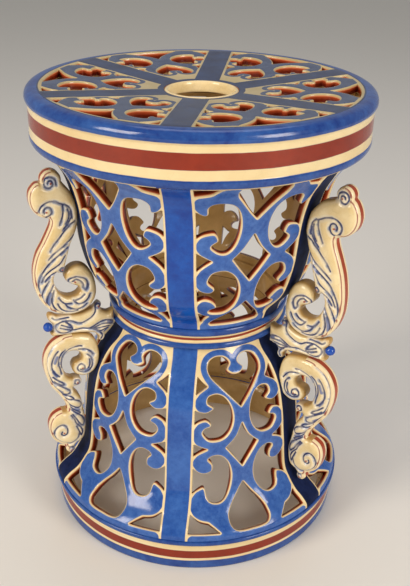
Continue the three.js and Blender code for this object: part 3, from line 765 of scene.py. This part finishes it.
def plateField(tree, radius, edge, bar):
    # cream beside the hub and a cream line along the rim, the blue ring round the hub left bare
    offBar = between(tree, bar, -2.0, 200.0)
    hubField = times(tree, between(tree, radius, 44.0, 82.0), between(tree, edge, 6.6, 99.0))
    rimLine = between(tree, radius, 157.2, 160.6)
    return times(tree, offBar, calc(tree, "MAXIMUM", hubField, rimLine))


def plateGlaze():
    material, tree, axes = startGlaze("cobalt and cream glaze on the pierced top")
    edge, through, bar = [stored(tree, key) for key in ("edge", "through", "bar")]
    edgeDrawn = sway(tree, edge, 9.0, 0.3)
    barDrawn = sway(tree, bar, 16.0, 0.35)
    flatRadius = flatRadiusOf(tree, axes)
    radius = sway(tree, flatRadius, 20.0, 0.5)
    onStrand = times(tree, between(tree, barDrawn, 0.0, 200.0), between(tree, radius, 44.0, 158.0))
    # painted shade and painted reflection: the top's bars and strands are laid darker and greyer than the
    # drums', for the dim light and dark reflections on the top
    blue = paintOver(tree, brushedCobalt(tree, "#0E1E48", "#26406F", 16.0),
                     brushedCobalt(tree, "#293A62", "#4C5C7E", 9.0), onStrand)
    # painted shade: the top's cream is laid darker than the drums' cream, for the same dim light
    cream = tonedCream(tree, "#CFBC8E", "#B9A677")
    barLine = times(tree, between(tree, flatRadius, 44.0, 158.5), between(tree, barDrawn, -2.2, 0.15, 0.25))
    cutLine = between(tree, edgeDrawn, -5.0, 1.4, 0.25)
    colour = coats(tree, blue, (cream, plateField(tree, radius, edgeDrawn, barDrawn)),
                   (cream, calc(tree, "MAXIMUM", barLine, cutLine)))
    colour = cutPaint(tree, colour, through, "#B8502C", "#6A1C0C")
    colour = paintOver(tree, colour, tonedCream(tree, tanLight, tanDark),
                       between(tree, through, 0.98, 2.0, 0.02))
    finishGlaze(tree, colour, roughness=0.16)
    return material


addPiece("top_plate_glazed", plateMesh(), plateGlaze(), ["top_plate"])
print("top plate pierced")


def creamGlaze(name, light, dark):
    material, tree, axes = startGlaze(name)
    finishGlaze(tree, tonedCream(tree, light, dark), roughness=0.11, crazing=0.2)
    return material


collar = dict(
    profile=ringProfile([
        [[35.3, 467.0], [37.0, 468.0], [37.4, 471], [37.4, 476.6], [36.6, 478.1], [35.2, 478.7],
         [33.9, 477.9], [33.2, 475.8], [33.1, 472], [33.3, 469.0], [34.1, 467.4], [35.3, 467.0]]], 0.6))
addPiece("hand_hole_collar_glazed", turnedMesh("hand_hole_collar", collar["profile"], 120, wobble=0.0008),
         creamGlaze("cream glaze on the hand hole", "#F3DFB2", "#E6CB90"),
         ["hand_hole_collar"])


# Brackets. x runs out from the face that leans on the drum, y up from the middle of the waist.
bracket = dict(face=134.05, middle=245.0, half=11.0, leafHalf=9.0, reach=7.5, drop=5.6, swell=11,
               stripeReach=6, hollowGap=1.5)
carving = dict(groove=1.5, grooveWidth=1.3, dip=1.1, dipWidth=3.0, fade=2.5, bead=0.7, beadWidth=2.0)

# The two straight brackets, and the one that bent outwards at its head while it was soft.
straight = dict(
    crown=arcPoints(24.9, 157.3, 10.4, 10.4, 190, -8, 14)
    + [[35.2, 155.5], [40.5, 155], [46.3, 148.5], [47.8, 140], [45.8, 130.5], [40, 122.5], [33.5, 119],
       [28.2, 117.3]],
    chest=[[28.6, 110], [36.8, 93.5], [44, 81]],
    back=[[4, 98.5], [1.2, 108], [0, 118], [0.6, 127.5], [2.6, 136], [6, 143.5], [12, 151.5]],
    sag=0.0)
bent = dict(
    crown=[[23.5, 156]] + arcPoints(39.5, 163.2, 9, 9.2, 205, -14, 14)
    + [[51.5, 158], [55.3, 150.5], [56.5, 141.5], [54, 132.5], [48.5, 125.8], [42, 122.2], [36.6, 120.2],
       [33.6, 117.6]],
    chest=[[35, 110], [40.5, 96.5], [45.4, 82]],
    back=[[6.5, 98], [3.6, 108.5], [1.2, 119], [1.8, 127.5], [3.4, 134.7], [6, 141.3], [16, 152.6]],
    pins=[[26, 155.5, 38.9, 161.4], [32, 126, 33.5, 129.7], [46, 141, 54.5, 142], [2, 126, 3, 127],
          [14, 132, 14, 134], [28, 117, 31, 117], [36, 93, 39, 95], [44, 78, 45.5, 79], [3, 100, 5, 100],
          [49, 60, 49, 60], [16, 62, 16, 62], [20, 80, 21, 80]],
    sag=4.5)


def ramp(value, start, end):
    return min(max((value - start) / (end - start), 0.0), 1.0)


def lowered(line, sag):
    # the foot of an upper scroll hangs by sag mm, its chest less
    return [[x, y - sag * ramp(y, 75, 15)] for x, y in line]


def upperRuns(shape):
    body = [[48.2, 67], [49, 55], [47.8, 42], [42.8, 28], [34, 16.5], [23.5, 10.4], [13, 8.2], [3, 9.2],
            [-6.5, 13.5], [-13.5, 22], [-15.8, 32], [-14.7, 43.5], [-11.5, 53], [-5.5, 61], [2.5, 64],
            [10.5, 62], [16.3, 56], [16.5, 48.5], [11, 43.3], [4, 39.5], [1.5, 34.5], [6, 30], [13, 29],
            [20, 32], [25.5, 39], [28.4, 48], [27.6, 54.5], [24.8, 58.4], [22.4, 57.3],
            [19.4, 57.2], [17.1, 58.7], [15.9, 61.4], [15.9, 65], [14.2, 70.5], [12, 78], [9, 88]]
    return [shape["crown"] + shape["chest"] + lowered(body, shape["sag"]) + shape["back"]
            + [shape["crown"][0]]]


def sagged(line):
    # the bent bracket's lower scroll hangs, most at its inner volute; its bow is pressed wider
    # and its end swings in
    return [[x + 0.1 * (x - 12) * ramp(y, -120, -90) - 3.2 * ramp(y, -95, -135),
             y - 5 - 4 * ramp(y, -20, -50) * (1 - (x + 15) / 85)] for x, y in line]


def drooped(line, inner, outer):
    # a leaf hangs by inner mm at the drum and by outer mm at its end
    return [[x, y - inner - (outer - inner) * ramp(x, -12, 12)] for x, y in line]


def pinned(line):
    # lines drawn for the straight head follow the places that moved near them on the bent one
    points, pins = np.array(line, float), np.array(bent["pins"], float)
    weight = 1 / (((points[:, None] - pins[None, :, :2]) ** 2).sum(2) + 20) ** 2
    weight /= weight.sum(1, keepdims=True)
    points = points + weight @ (pins[:, 2:] - pins[:, :2])
    return lowered(points.tolist(), bent["sag"])


upperScroll = dict(
    striped=True,
    ink=[
        [[20.5, 153.5], [21.2, 159], [25.5, 161.7], [30, 160.5], [32.2, 156], [30.5, 151.5], [26.5, 150.8],
         [23.8, 154], [25, 157.8], [28, 157.5], [28.6, 155.2]],
        [[14, 132], [18, 133.8], [22, 136], [27, 136.8], [32.5, 135.5], [37, 132], [39, 127], [37, 122.3],
         [32.5, 120.3], [28.3, 122.3], [26.4, 126], [27.8, 130.2], [31.5, 131], [34.3, 128.3], [33.8, 124.8]],
        [[13.5, 132.5], [9.5, 129.5], [7.5, 126], [7, 121], [6.5, 116.5]],
        [[15.5, 132], [15.2, 127], [16, 121], [17.5, 116], [19.5, 111]],
        [[10.5, 127], [9.5, 122], [10.6, 116], [13, 111.5]],
        [[3, 113], [8, 111], [11, 107.5], [15.5, 103.5], [20, 98], [26, 91], [31, 84]],
        [[8, 117], [11.5, 111], [15.5, 106.5]],
        [[5, 98], [9, 93.5], [15, 89], [21, 85], [28, 80], [33, 75]],
        [[12.5, 85], [20, 80], [27, 75], [33, 70], [39, 63], [43, 56], [44.8, 47], [44.5, 39]],
        [[15, 77], [21, 69.5], [27, 65.5], [33, 62], [38, 57.5], [41.5, 51]],
        [[25.5, 59], [31, 57.5], [35.5, 54.5], [38, 51]],
        [[34, 51], [39, 44], [42, 36], [41.8, 30], [40.3, 25.5]],
        [[29.5, 45], [33, 40], [36, 35], [37.5, 28], [35.5, 20]],
        [[29.5, 39], [31.8, 33], [32.5, 27], [30.5, 20.5], [26.5, 15], [22, 11.4]],
        [[25, 30], [22, 25.5], [18, 22.5], [12, 22]],
        [[26.8, 24], [23.5, 17.5], [18, 13.3], [12, 11.7], [5.5, 12]],
        [[19, 22.8], [16.5, 18.8], [12, 15.7], [6, 14], [0, 15.8], [-4.5, 19]],
        [[9.5, 24.8], [5, 20.4], [0, 20.6], [-5, 24], [-8.5, 30]],
        [[-2.5, 30], [2, 26.2], [8, 24.4]],
        [[11.5, 42], [14, 45.5], [12.8, 49.5], [8, 51.6], [3, 51], [-2.5, 49], [-5.6, 45], [-6.3, 39],
         [-4.2, 34.5]],
        [[9.6, 46.4], [6.2, 48.8], [1.4, 46.4], [-1.4, 42], [-1.6, 38], [-3.6, 35]],
        arcPoints(19.3, 61.4, 2.4, 2.4, 200, -120, 10),
    ],
    wash=[[[12.5, 84.5], [20, 79.5]], [[12, 110], [16.5, 105]], [[33, 55.5], [37.4, 52.4]],
          [[33.4, 37], [36, 30], [36, 23]], [[-5.8, 41], [-4.6, 36]], [[7.6, 124], [7, 118]]],
    eyes=[[26, 155.5], [32, 126.4], [7.2, 46], [19.3, 61.4]])

lowerScroll = dict(
    striped=True,
    runs=[
        [[-6.5, -20.4], [6, -17], [22, -17.2], [33.5, -22.2], [40.5, -30], [44.6, -40], [45.3, -52],
         [43, -65], [39, -77], [32, -88], [25.5, -100], [23, -108.5], [24.5, -112], [31, -111.5],
         [39, -115.5],
         [43.3, -122], [44.8, -130], [43.5, -140], [40.5, -147.5], [34, -154], [28.2, -157.2]],
        [[28.2, -157.2]] + arcPoints(21.8, -164.2, 5.3, 5.3, 35, -215, 12) + [[14.6, -157.2]],
        [[14.6, -157.2], [7, -152.5], [4, -143.5], [3, -132], [4, -122], [6, -105], [8.5, -95], [14, -87],
         [14.6, -82.4], [10.4, -81.8], [6.4, -80], [5.2, -76.4], [7, -72.6], [11.4, -71], [16, -71],
         [21, -67.5], [24.3, -60], [25.7, -51.5], [22.5, -41.5], [16, -37], [8.5, -38], [4, -44], [6, -49.5],
         [12, -51.5], [15.2, -58], [12.5, -65.3], [6, -69.3], [-1, -70], [-9.5, -65.5], [-14.5, -57],
         [-16, -46.5], [-14.8, -36], [-12, -27], [-6.5, -20.4]]],
    ink=[
        [[25, -20], [31, -22.8], [36.5, -28.5], [40.6, -35.5], [42.8, -43], [43, -52], [41, -62],
         [37.5, -71]],
        [[30, -33], [34, -38], [37, -45], [37.5, -52], [35, -59], [30, -64.5]],
        [[22, -33], [26, -36], [29, -42], [30, -49], [28.5, -56], [27.5, -62]],
        [[4, -31], [9, -30.5], [16, -32.5], [22, -36.5], [25.8, -42.5], [26.6, -48], [26, -55]],
        [[-9, -44.5], [-5, -39], [0, -36], [7, -35.3]],
        [[-2, -43], [-5.5, -46.5], [-7, -52], [-6.5, -58], [-3, -63.2], [3, -64.5], [8.5, -61.5],
         [9.2, -56.8], [5.5, -54], [2, -56], [1.6, -59.6], [4, -61.5], [6.4, -60]],
        [[-4, -49], [-4.3, -55], [-2.4, -60]],
        arcPoints(10.6, -76.6, 2.9, 2.9, 200, -120, 10),
        [[37, -64], [32, -69], [27, -73], [25, -76], [30, -75], [36, -70]],
        [[36, -72], [30, -76.4], [24, -81], [19.5, -85], [20.5, -88.3], [24.5, -88.6], [29, -86],
         [33, -81], [38, -75]],
        [[29.5, -87.3], [24, -90.5], [18.5, -93.2], [15.6, -97], [21, -96.6], [28, -91.6], [33, -86]],
        [[19, -96.5], [13, -99.2], [8.6, -103], [7.4, -107], [9.5, -109], [13, -108.5], [19, -105],
         [25, -99]],
        [[22, -105], [16, -111], [11, -114.5], [9, -117.2], [13, -116.3], [19, -111]],
        [[13, -117], [8.4, -121], [5.6, -126], [5.2, -131], [7, -134.2], [11, -130], [14, -124], [18, -117]],
        [[20, -118], [16.5, -124], [14.6, -129.5], [11, -134], [8.4, -139.4], [8, -144], [9.4, -147],
         [12, -140.5], [14.5, -133.5]],
        [[11.5, -143], [13.5, -149.5], [18, -153.6], [25, -155], [32, -152.5], [37.6, -146.5], [40, -140],
         [39, -134], [36, -129.8], [31, -128.2], [27, -130.4], [25, -135], [25.6, -140.5], [29, -142.6],
         [32, -140.5], [31.2, -137.4]],
        arcPoints(21.8, -164.2, 3.1, 3.1, 160, -160, 10),
    ],
    wash=[[[33, -63], [36.4, -57]], [[28.6, -84.6], [32, -81.6]], [[11, -112], [15.4, -109.6]],
          [[-2.6, -60], [1, -63.2]], [[31, -39], [34.4, -46]]],
    eyes=[[4.4, -58.4], [29.2, -138.6], [10.6, -76.6], [21.8, -164.2]])

leaf = dict(
    striped=False,
    runs=[
        [[-34.2, -11.5], [-27.2, -14], [-22.7, -17.5], [-23.7, -23], [-20.7, -27.5], [-16.7, -26.5],
         [-15.7, -21.5], [-12.5, -17], [-5, -16], [6, -15.8], [22, -15.8], [31.5, -15.5], [34.5, -14.5],
         [35, -12.6], [32.3, -10.6], [31.5, -8], [31.5, -4], [33, -0.5], [36.5, 4], [37.5, 8.5],
         [35.5, 11.5], [31.5, 10.8], [27, 8.2], [22, 7.2], [13, 7.2], [2.5, 8.2], [-7, 12.3], [-12, 15],
         [-13.7, 17], [-17.7, 20], [-21.2, 17], [-20.2, 11.5], [-27.2, 7], [-34.2, 9]],
        [[-34.2, 9], [-34.2, -11.5]]],
    ink=[
        [[-20, 14], [-19, 17.4], [-16, 18], [-14, 15.4], [-13.4, 10], [-10, 5], [-5, 1], [1, -2], [6, -2.6],
         [12, 0], [20, 1.4], [26, 0.4], [29.6, -3.4], [29.2, -8], [24.4, -12.4], [18, -13.4], [12.4, -10.8]],
        [[12, -10.6], [13, -6.4], [16, -2.4], [19.4, 0.6]],
        [[12.4, -10.8], [18, -9], [25, -6]],
        [[14, -7.6], [20, -4.6], [24, -2.4]],
        [[-34, -6], [-28, -2.6], [-21, -2.5], [-15, -4.8], [-9, -8.3], [-5, -9.8], [2, -9.2], [9, -10.4],
         [12.4, -10.8]],
        [[-32, -8.5], [-26, -6.5], [-19, -6.5], [-11, -9.4]],
        [[-30, -10.6], [-23, -10.2], [-15, -10.3], [-7, -10.4]],
        [[-27, -13], [-21, -14.4], [-16, -13.4], [-10, -10.6]],
        [[-19, -25], [-20.6, -21], [-19, -17.4], [-15, -14.4]],
        [[33, 7], [30, 4.6], [24, 4.4], [15, 4.6]],
    ],
    wash=[[[13, -7], [15, -3.6]], [[-32, -6.6], [-27, -4.4]], [[-18.6, 15], [-15.4, 14]]],
    eyes=[[-17.4, 15.4]])


def bracketMesh(name, runs, half, drawing, moved=lambda line: line):
    outer = closedOutline(runs, 0.8, 1)
    area = (outer[:, 0] * np.roll(outer[:, 1], -1) - np.roll(outer[:, 0], -1) * outer[:, 1]).sum()
    if area < 0:
        outer = outer[::-1]
    flat, faces = fillFlat(outer, [], spacing=0.95, rings=(0.35, 0.9, 1.7, 2.6), alongOuter=True)
    edge = segmentDistance(flat, *loopSegments([outer]))
    ink, wash = [segmentDistance(flat, *lineSegments([moved(line) for line in drawing[key]]))
                 for key in ("ink", "wash")]
    eye = np.min([np.hypot(*(flat - e).T) for e in moved(drawing["eyes"])], axis=0)
    # carved relief: a groove along each drawn line, the leaves swelling between, the eyes standing up
    relief = (carving["groove"] * np.exp(-(ink / carving["grooveWidth"]) ** 2)
              + carving["dip"] * np.exp(-(ink / carving["dipWidth"]) ** 2))
    relief *= np.clip(edge / carving["fade"], 0, 1)
    relief -= carving["bead"] * np.exp(-(eye / carving["beadWidth"]) ** 2)
    # the section is close to an oval, fullest along the middle of the stem
    near = 1 - np.clip(edge / bracket["reach"], 0, 1)
    shoulder = bracket["drop"] * (1 - np.sqrt(1 - near ** 2)) + pillow(edge, bracket["swell"], 1.0)
    side = half - carving["bead"] - relief - shoulder
    place = np.column_stack([flat[:, 0] + bracket["face"], np.zeros(len(flat)),
                             flat[:, 1] + bracket["middle"]])
    front, back = place.copy(), place.copy()
    front[:, 1] -= side
    back[:, 1] += side
    points, index, _, source = thickSheet(flat, faces, front, back, rimEdges(faces), rows=6)
    # how far each outline point faces away from the drum, carried in to the points beside it
    sweep = np.roll(outer, -1, 0) - np.roll(outer, 1, 0)
    outward = (sweep[:, 1] - 0.25 * sweep[:, 0]) / np.maximum(np.hypot(*sweep.T), 1e-9)
    # the hollows of the curls and the leaf stay plain
    ends = np.roll(outer, -1, 0)
    level = outer[:, 1][:, None]
    crossed = (outer[:, 1][None] < level) != (ends[:, 1][None] < level)
    rise = np.where(crossed, ends[:, 1][None] - outer[:, 1][None], 1.0)
    meets = outer[:, 0] + (level - outer[:, 1]) / rise * (ends[:, 0] - outer[:, 0])
    outward[(crossed & (meets > outer[:, :1] + bracket["hollowGap"])).any(1)] = -1.0
    if not drawing["striped"]:
        outward[:] = -1.0
    facing = np.full(len(flat), -1.0)
    close = np.flatnonzero(edge < bracket["stripeReach"])
    for first in range(0, len(close), 500):
        some = close[first:first + 500]
        nearest = ((flat[some][:, None] - outer[None]) ** 2).sum(2).argmin(1)
        facing[some] = outward[nearest]
    return makeMesh(name, points, index, {
        "edge": edge[source], "ink": ink[source], "wash": wash[source], "eye": eye[source],
        "across": points[:, 1], "facing": facing[source]})


def bracketGlaze():
    material, tree, axes = startGlaze("ivory glaze painted with grey-blue lines")
    value = {key: stored(tree, key) for key in ("edge", "ink", "wash", "eye", "across", "facing")}
    # painted shade, with some pooled glaze: darker yellow-brown on the faces that look into the hollows
    hollowShade = times(tree, between(tree, value["edge"], -5.0, 1.6, 1.2),
                   between(tree, value["facing"], -5.0, 0.1, 0.2))
    # whiter between the painted leaves than on the plain heads
    pale = mapped(tree, value["ink"], 1.0, 4.2, 0.75, 0.0)
    beside = times(tree, between(tree, value["ink"], 0.3, 2.0, 0.5),
                   mapped(tree, mottle(tree, 6.0, 2.0), 0.5, 0.6, 0.0, 0.7))
    wash = between(tree, sway(tree, value["wash"], 4.0, 0.6), -5.0, 1.6, 0.7)
    ink = between(tree, sway(tree, value["ink"], 5.0, 0.3), -5.0, 0.92, 0.32)
    strength = mapped(tree, mottle(tree, 8.0, 2.0), 0.3, 0.55, 0.6, 1.0)
    # the outward edge: an iron-red stripe between cream ones, with a fine line to the face
    across = calc(tree, "ABSOLUTE", sway(tree, value["across"], 12.0, 0.5))
    outward = times(tree, between(tree, value["facing"], 0.1, 5.0, 0.1),
                    between(tree, value["edge"], -5.0, 3.0, 0.3))
    red = paintOver(tree, "#B4502E", "#8A2E18", mottle(tree, 6.0, 4.0))
    colour = coats(
        tree, tonedCream(tree, "#EFDDB0", "#DBC188", 16.0),
        ("#AD8543", times(tree, hollowShade, 0.85)), ("#F2ECDC", pale), ("#7F95BE", beside),
        ("#3F5FA0", times(tree, wash, 0.8)), ("#38416C", times(tree, ink, strength)),
        ("#96402A", between(tree, value["eye"], -5.0, 1.15, 0.45)), ("#F0DDB4", outward),
        (red, times(tree, outward, between(tree, across, -5.0, 2.9, 0.4))),
        ("#96524A", times(tree, outward, between(tree, across, 6.6, 7.5, 0.3))))
    finishGlaze(tree, colour, crazing=0.12)
    return material


def movedMesh(name, drawing, half, moved):
    return bracketMesh(name, [moved(run) for run in drawing["runs"]], half, drawing, moved)


def leafMesh(name, inner, outer):
    return movedMesh(name, leaf, bracket["leafHalf"], lambda line: drooped(line, inner, outer))


ivory = bracketGlaze()
straightMeshes = {
    "upper_scroll": bracketMesh("upper_scroll", upperRuns(straight), bracket["half"], upperScroll),
    "lower_scroll": bracketMesh("lower_scroll", lowerScroll["runs"], bracket["half"], lowerScroll),
    "leaf": leafMesh("leaf", 3.5, 0.5),
}
bentMeshes = {
    "upper_scroll": bracketMesh("upper_scroll_bent", upperRuns(bent), bracket["half"], upperScroll,
                                pinned),
    "lower_scroll": movedMesh("lower_scroll_bent", lowerScroll, bracket["half"], sagged),
    "leaf": leafMesh("leaf_bent", 6.0, 3.0),
}
for i in range(3):
    angle = frontBar + segmentTurn + i * math.tau / 3
    for kind, mesh in (bentMeshes if i == 0 else straightMeshes).items():
        addPiece(f"{kind}_{i + 1}_glazed", mesh, ivory, [f"{kind}_{i + 1}"], angle)
print("brackets carved:", {k: len(m.vertices) for k, m in straightMeshes.items()})


def ballGlaze():
    material, tree, axes = startGlaze("deep cobalt glaze on the balls")
    blue = brushedCobalt(tree, "#063490", "#1F58BE", 6.0)
    finishGlaze(tree, blue, roughness=0.08, crazing=0.03)
    return material


def ballMesh():
    # a hand-rolled ball in the hollow of the leaf's end, its axis along x
    radius, steps = 5.1, 36
    leafEnd, slip, belowMiddle, poleRadius = 31.5, 0.4, 6, 0.02
    middle = bracket["face"] + leafEnd + slip + radius
    rows = [(middle - radius * math.cos(t), max(radius * math.sin(t), poleRadius))
            for t in np.linspace(0, math.pi, 25)]
    points, faces = [], []
    for x, r in rows:
        for j in range(steps):
            a = j * math.tau / steps
            lumpy = r * (1 + 0.012 * math.sin(3 * a + x))
            points.append([x, lumpy * math.cos(a), bracket["middle"] - belowMiddle + lumpy * math.sin(a)])
    for i in range(len(rows) - 1):
        for j in range(steps):
            k = (j + 1) % steps
            faces.append([i * steps + j, i * steps + k, (i + 1) * steps + k, (i + 1) * steps + j])
    faces.append(list(range(steps))[::-1])
    faces.append([(len(rows) - 1) * steps + j for j in range(steps)])
    return makeMesh("ball", points, faces)


ballPaint = ballGlaze()
ball = ballMesh()
for i in range(3):
    addPiece(f"ball_{i + 1}_glazed", ball, ballPaint, [f"ball_{i + 1}"],
             frontBar + segmentTurn + i * math.tau / 3)
print("balls set")


# Studio: pale floor, soft lights, and the photograph's camera.
def stageMaterial(name, colour):
    material = bpy.data.materials.new(name)
    material.use_nodes = True
    shader = material.node_tree.nodes["Principled BSDF"]
    shader.inputs["Base Color"].default_value = fromHex(colour)
    shader.inputs["Roughness"].default_value = 0.75
    return material


def addFloor():
    half = 6.0
    mesh = bpy.data.meshes.new("floor")
    corners = [(-half, -half, 0), (half, -half, 0), (half, half, 0), (-half, half, 0)]
    mesh.from_pydata(corners, [], [(0, 1, 2, 3)])
    mesh.materials.append(stageMaterial("matt studio floor", "#E6E4E0"))
    floor = bpy.data.objects.new("floor", mesh)
    bpy.context.scene.collection.objects.link(floor)


def addLamp(name, place, target, size, watts, colour):
    lamp = bpy.data.lights.new(name, "AREA")
    lamp.shape = "RECTANGLE"
    lamp.size, lamp.size_y = size
    lamp.energy = watts
    lamp.color = fromHex(colour)[:3]
    holder = bpy.data.objects.new(name, lamp)
    bpy.context.scene.collection.objects.link(holder)
    holder.location = place
    holder.rotation_euler = (Vector(target) - Vector(place)).to_track_quat("-Z", "Y").to_euler()


def addCamera():
    data = bpy.data.cameras.new("camera")
    data.lens = 52.2
    data.sensor_width = 36
    camera = bpy.data.objects.new("camera", data)
    bpy.context.scene.collection.objects.link(camera)
    heading, pitch, roll = math.radians(97.08), math.radians(26.87), 0.021
    forward = Vector((math.cos(heading) * math.cos(pitch), math.sin(heading) * math.cos(pitch),
                      -math.sin(pitch)))
    right = forward.cross(Vector((0, 0, 1))).normalized()
    up = right.cross(forward)
    tiltedRight = math.cos(roll) * right + math.sin(roll) * up
    tiltedUp = -math.sin(roll) * right + math.cos(roll) * up
    rotation = Matrix((tiltedRight, tiltedUp, -forward)).transposed()
    camera.matrix_world = Matrix.Translation((0.1124, -0.8426, 0.6804)) @ rotation.to_4x4()
    bpy.context.scene.camera = camera


addFloor()
addLamp("key softbox", (-1.7, -1.7, 1.5), (0, 0, 0.25), (1.1, 1.1), 46, "#FFF2E0")
addLamp("side softbox", (1.8, -1.3, 1.1), (0, 0, 0.25), (0.8, 1.1), 30, "#FFF4E6")
addLamp("top softbox", (0, 0.8, 2.4), (0, 0, 0.3), (1.4, 1.4), 10, "#F6F6FF")
world = bpy.data.worlds.new("studio")
bpy.context.scene.world = world
world.use_nodes = True
world.node_tree.nodes["Background"].inputs[0].default_value = fromHex("#E4E2DE")
world.node_tree.nodes["Background"].inputs[1].default_value = 0.42
addCamera()
bpy.context.scene.view_settings.view_transform = "Standard"
print("studio set")
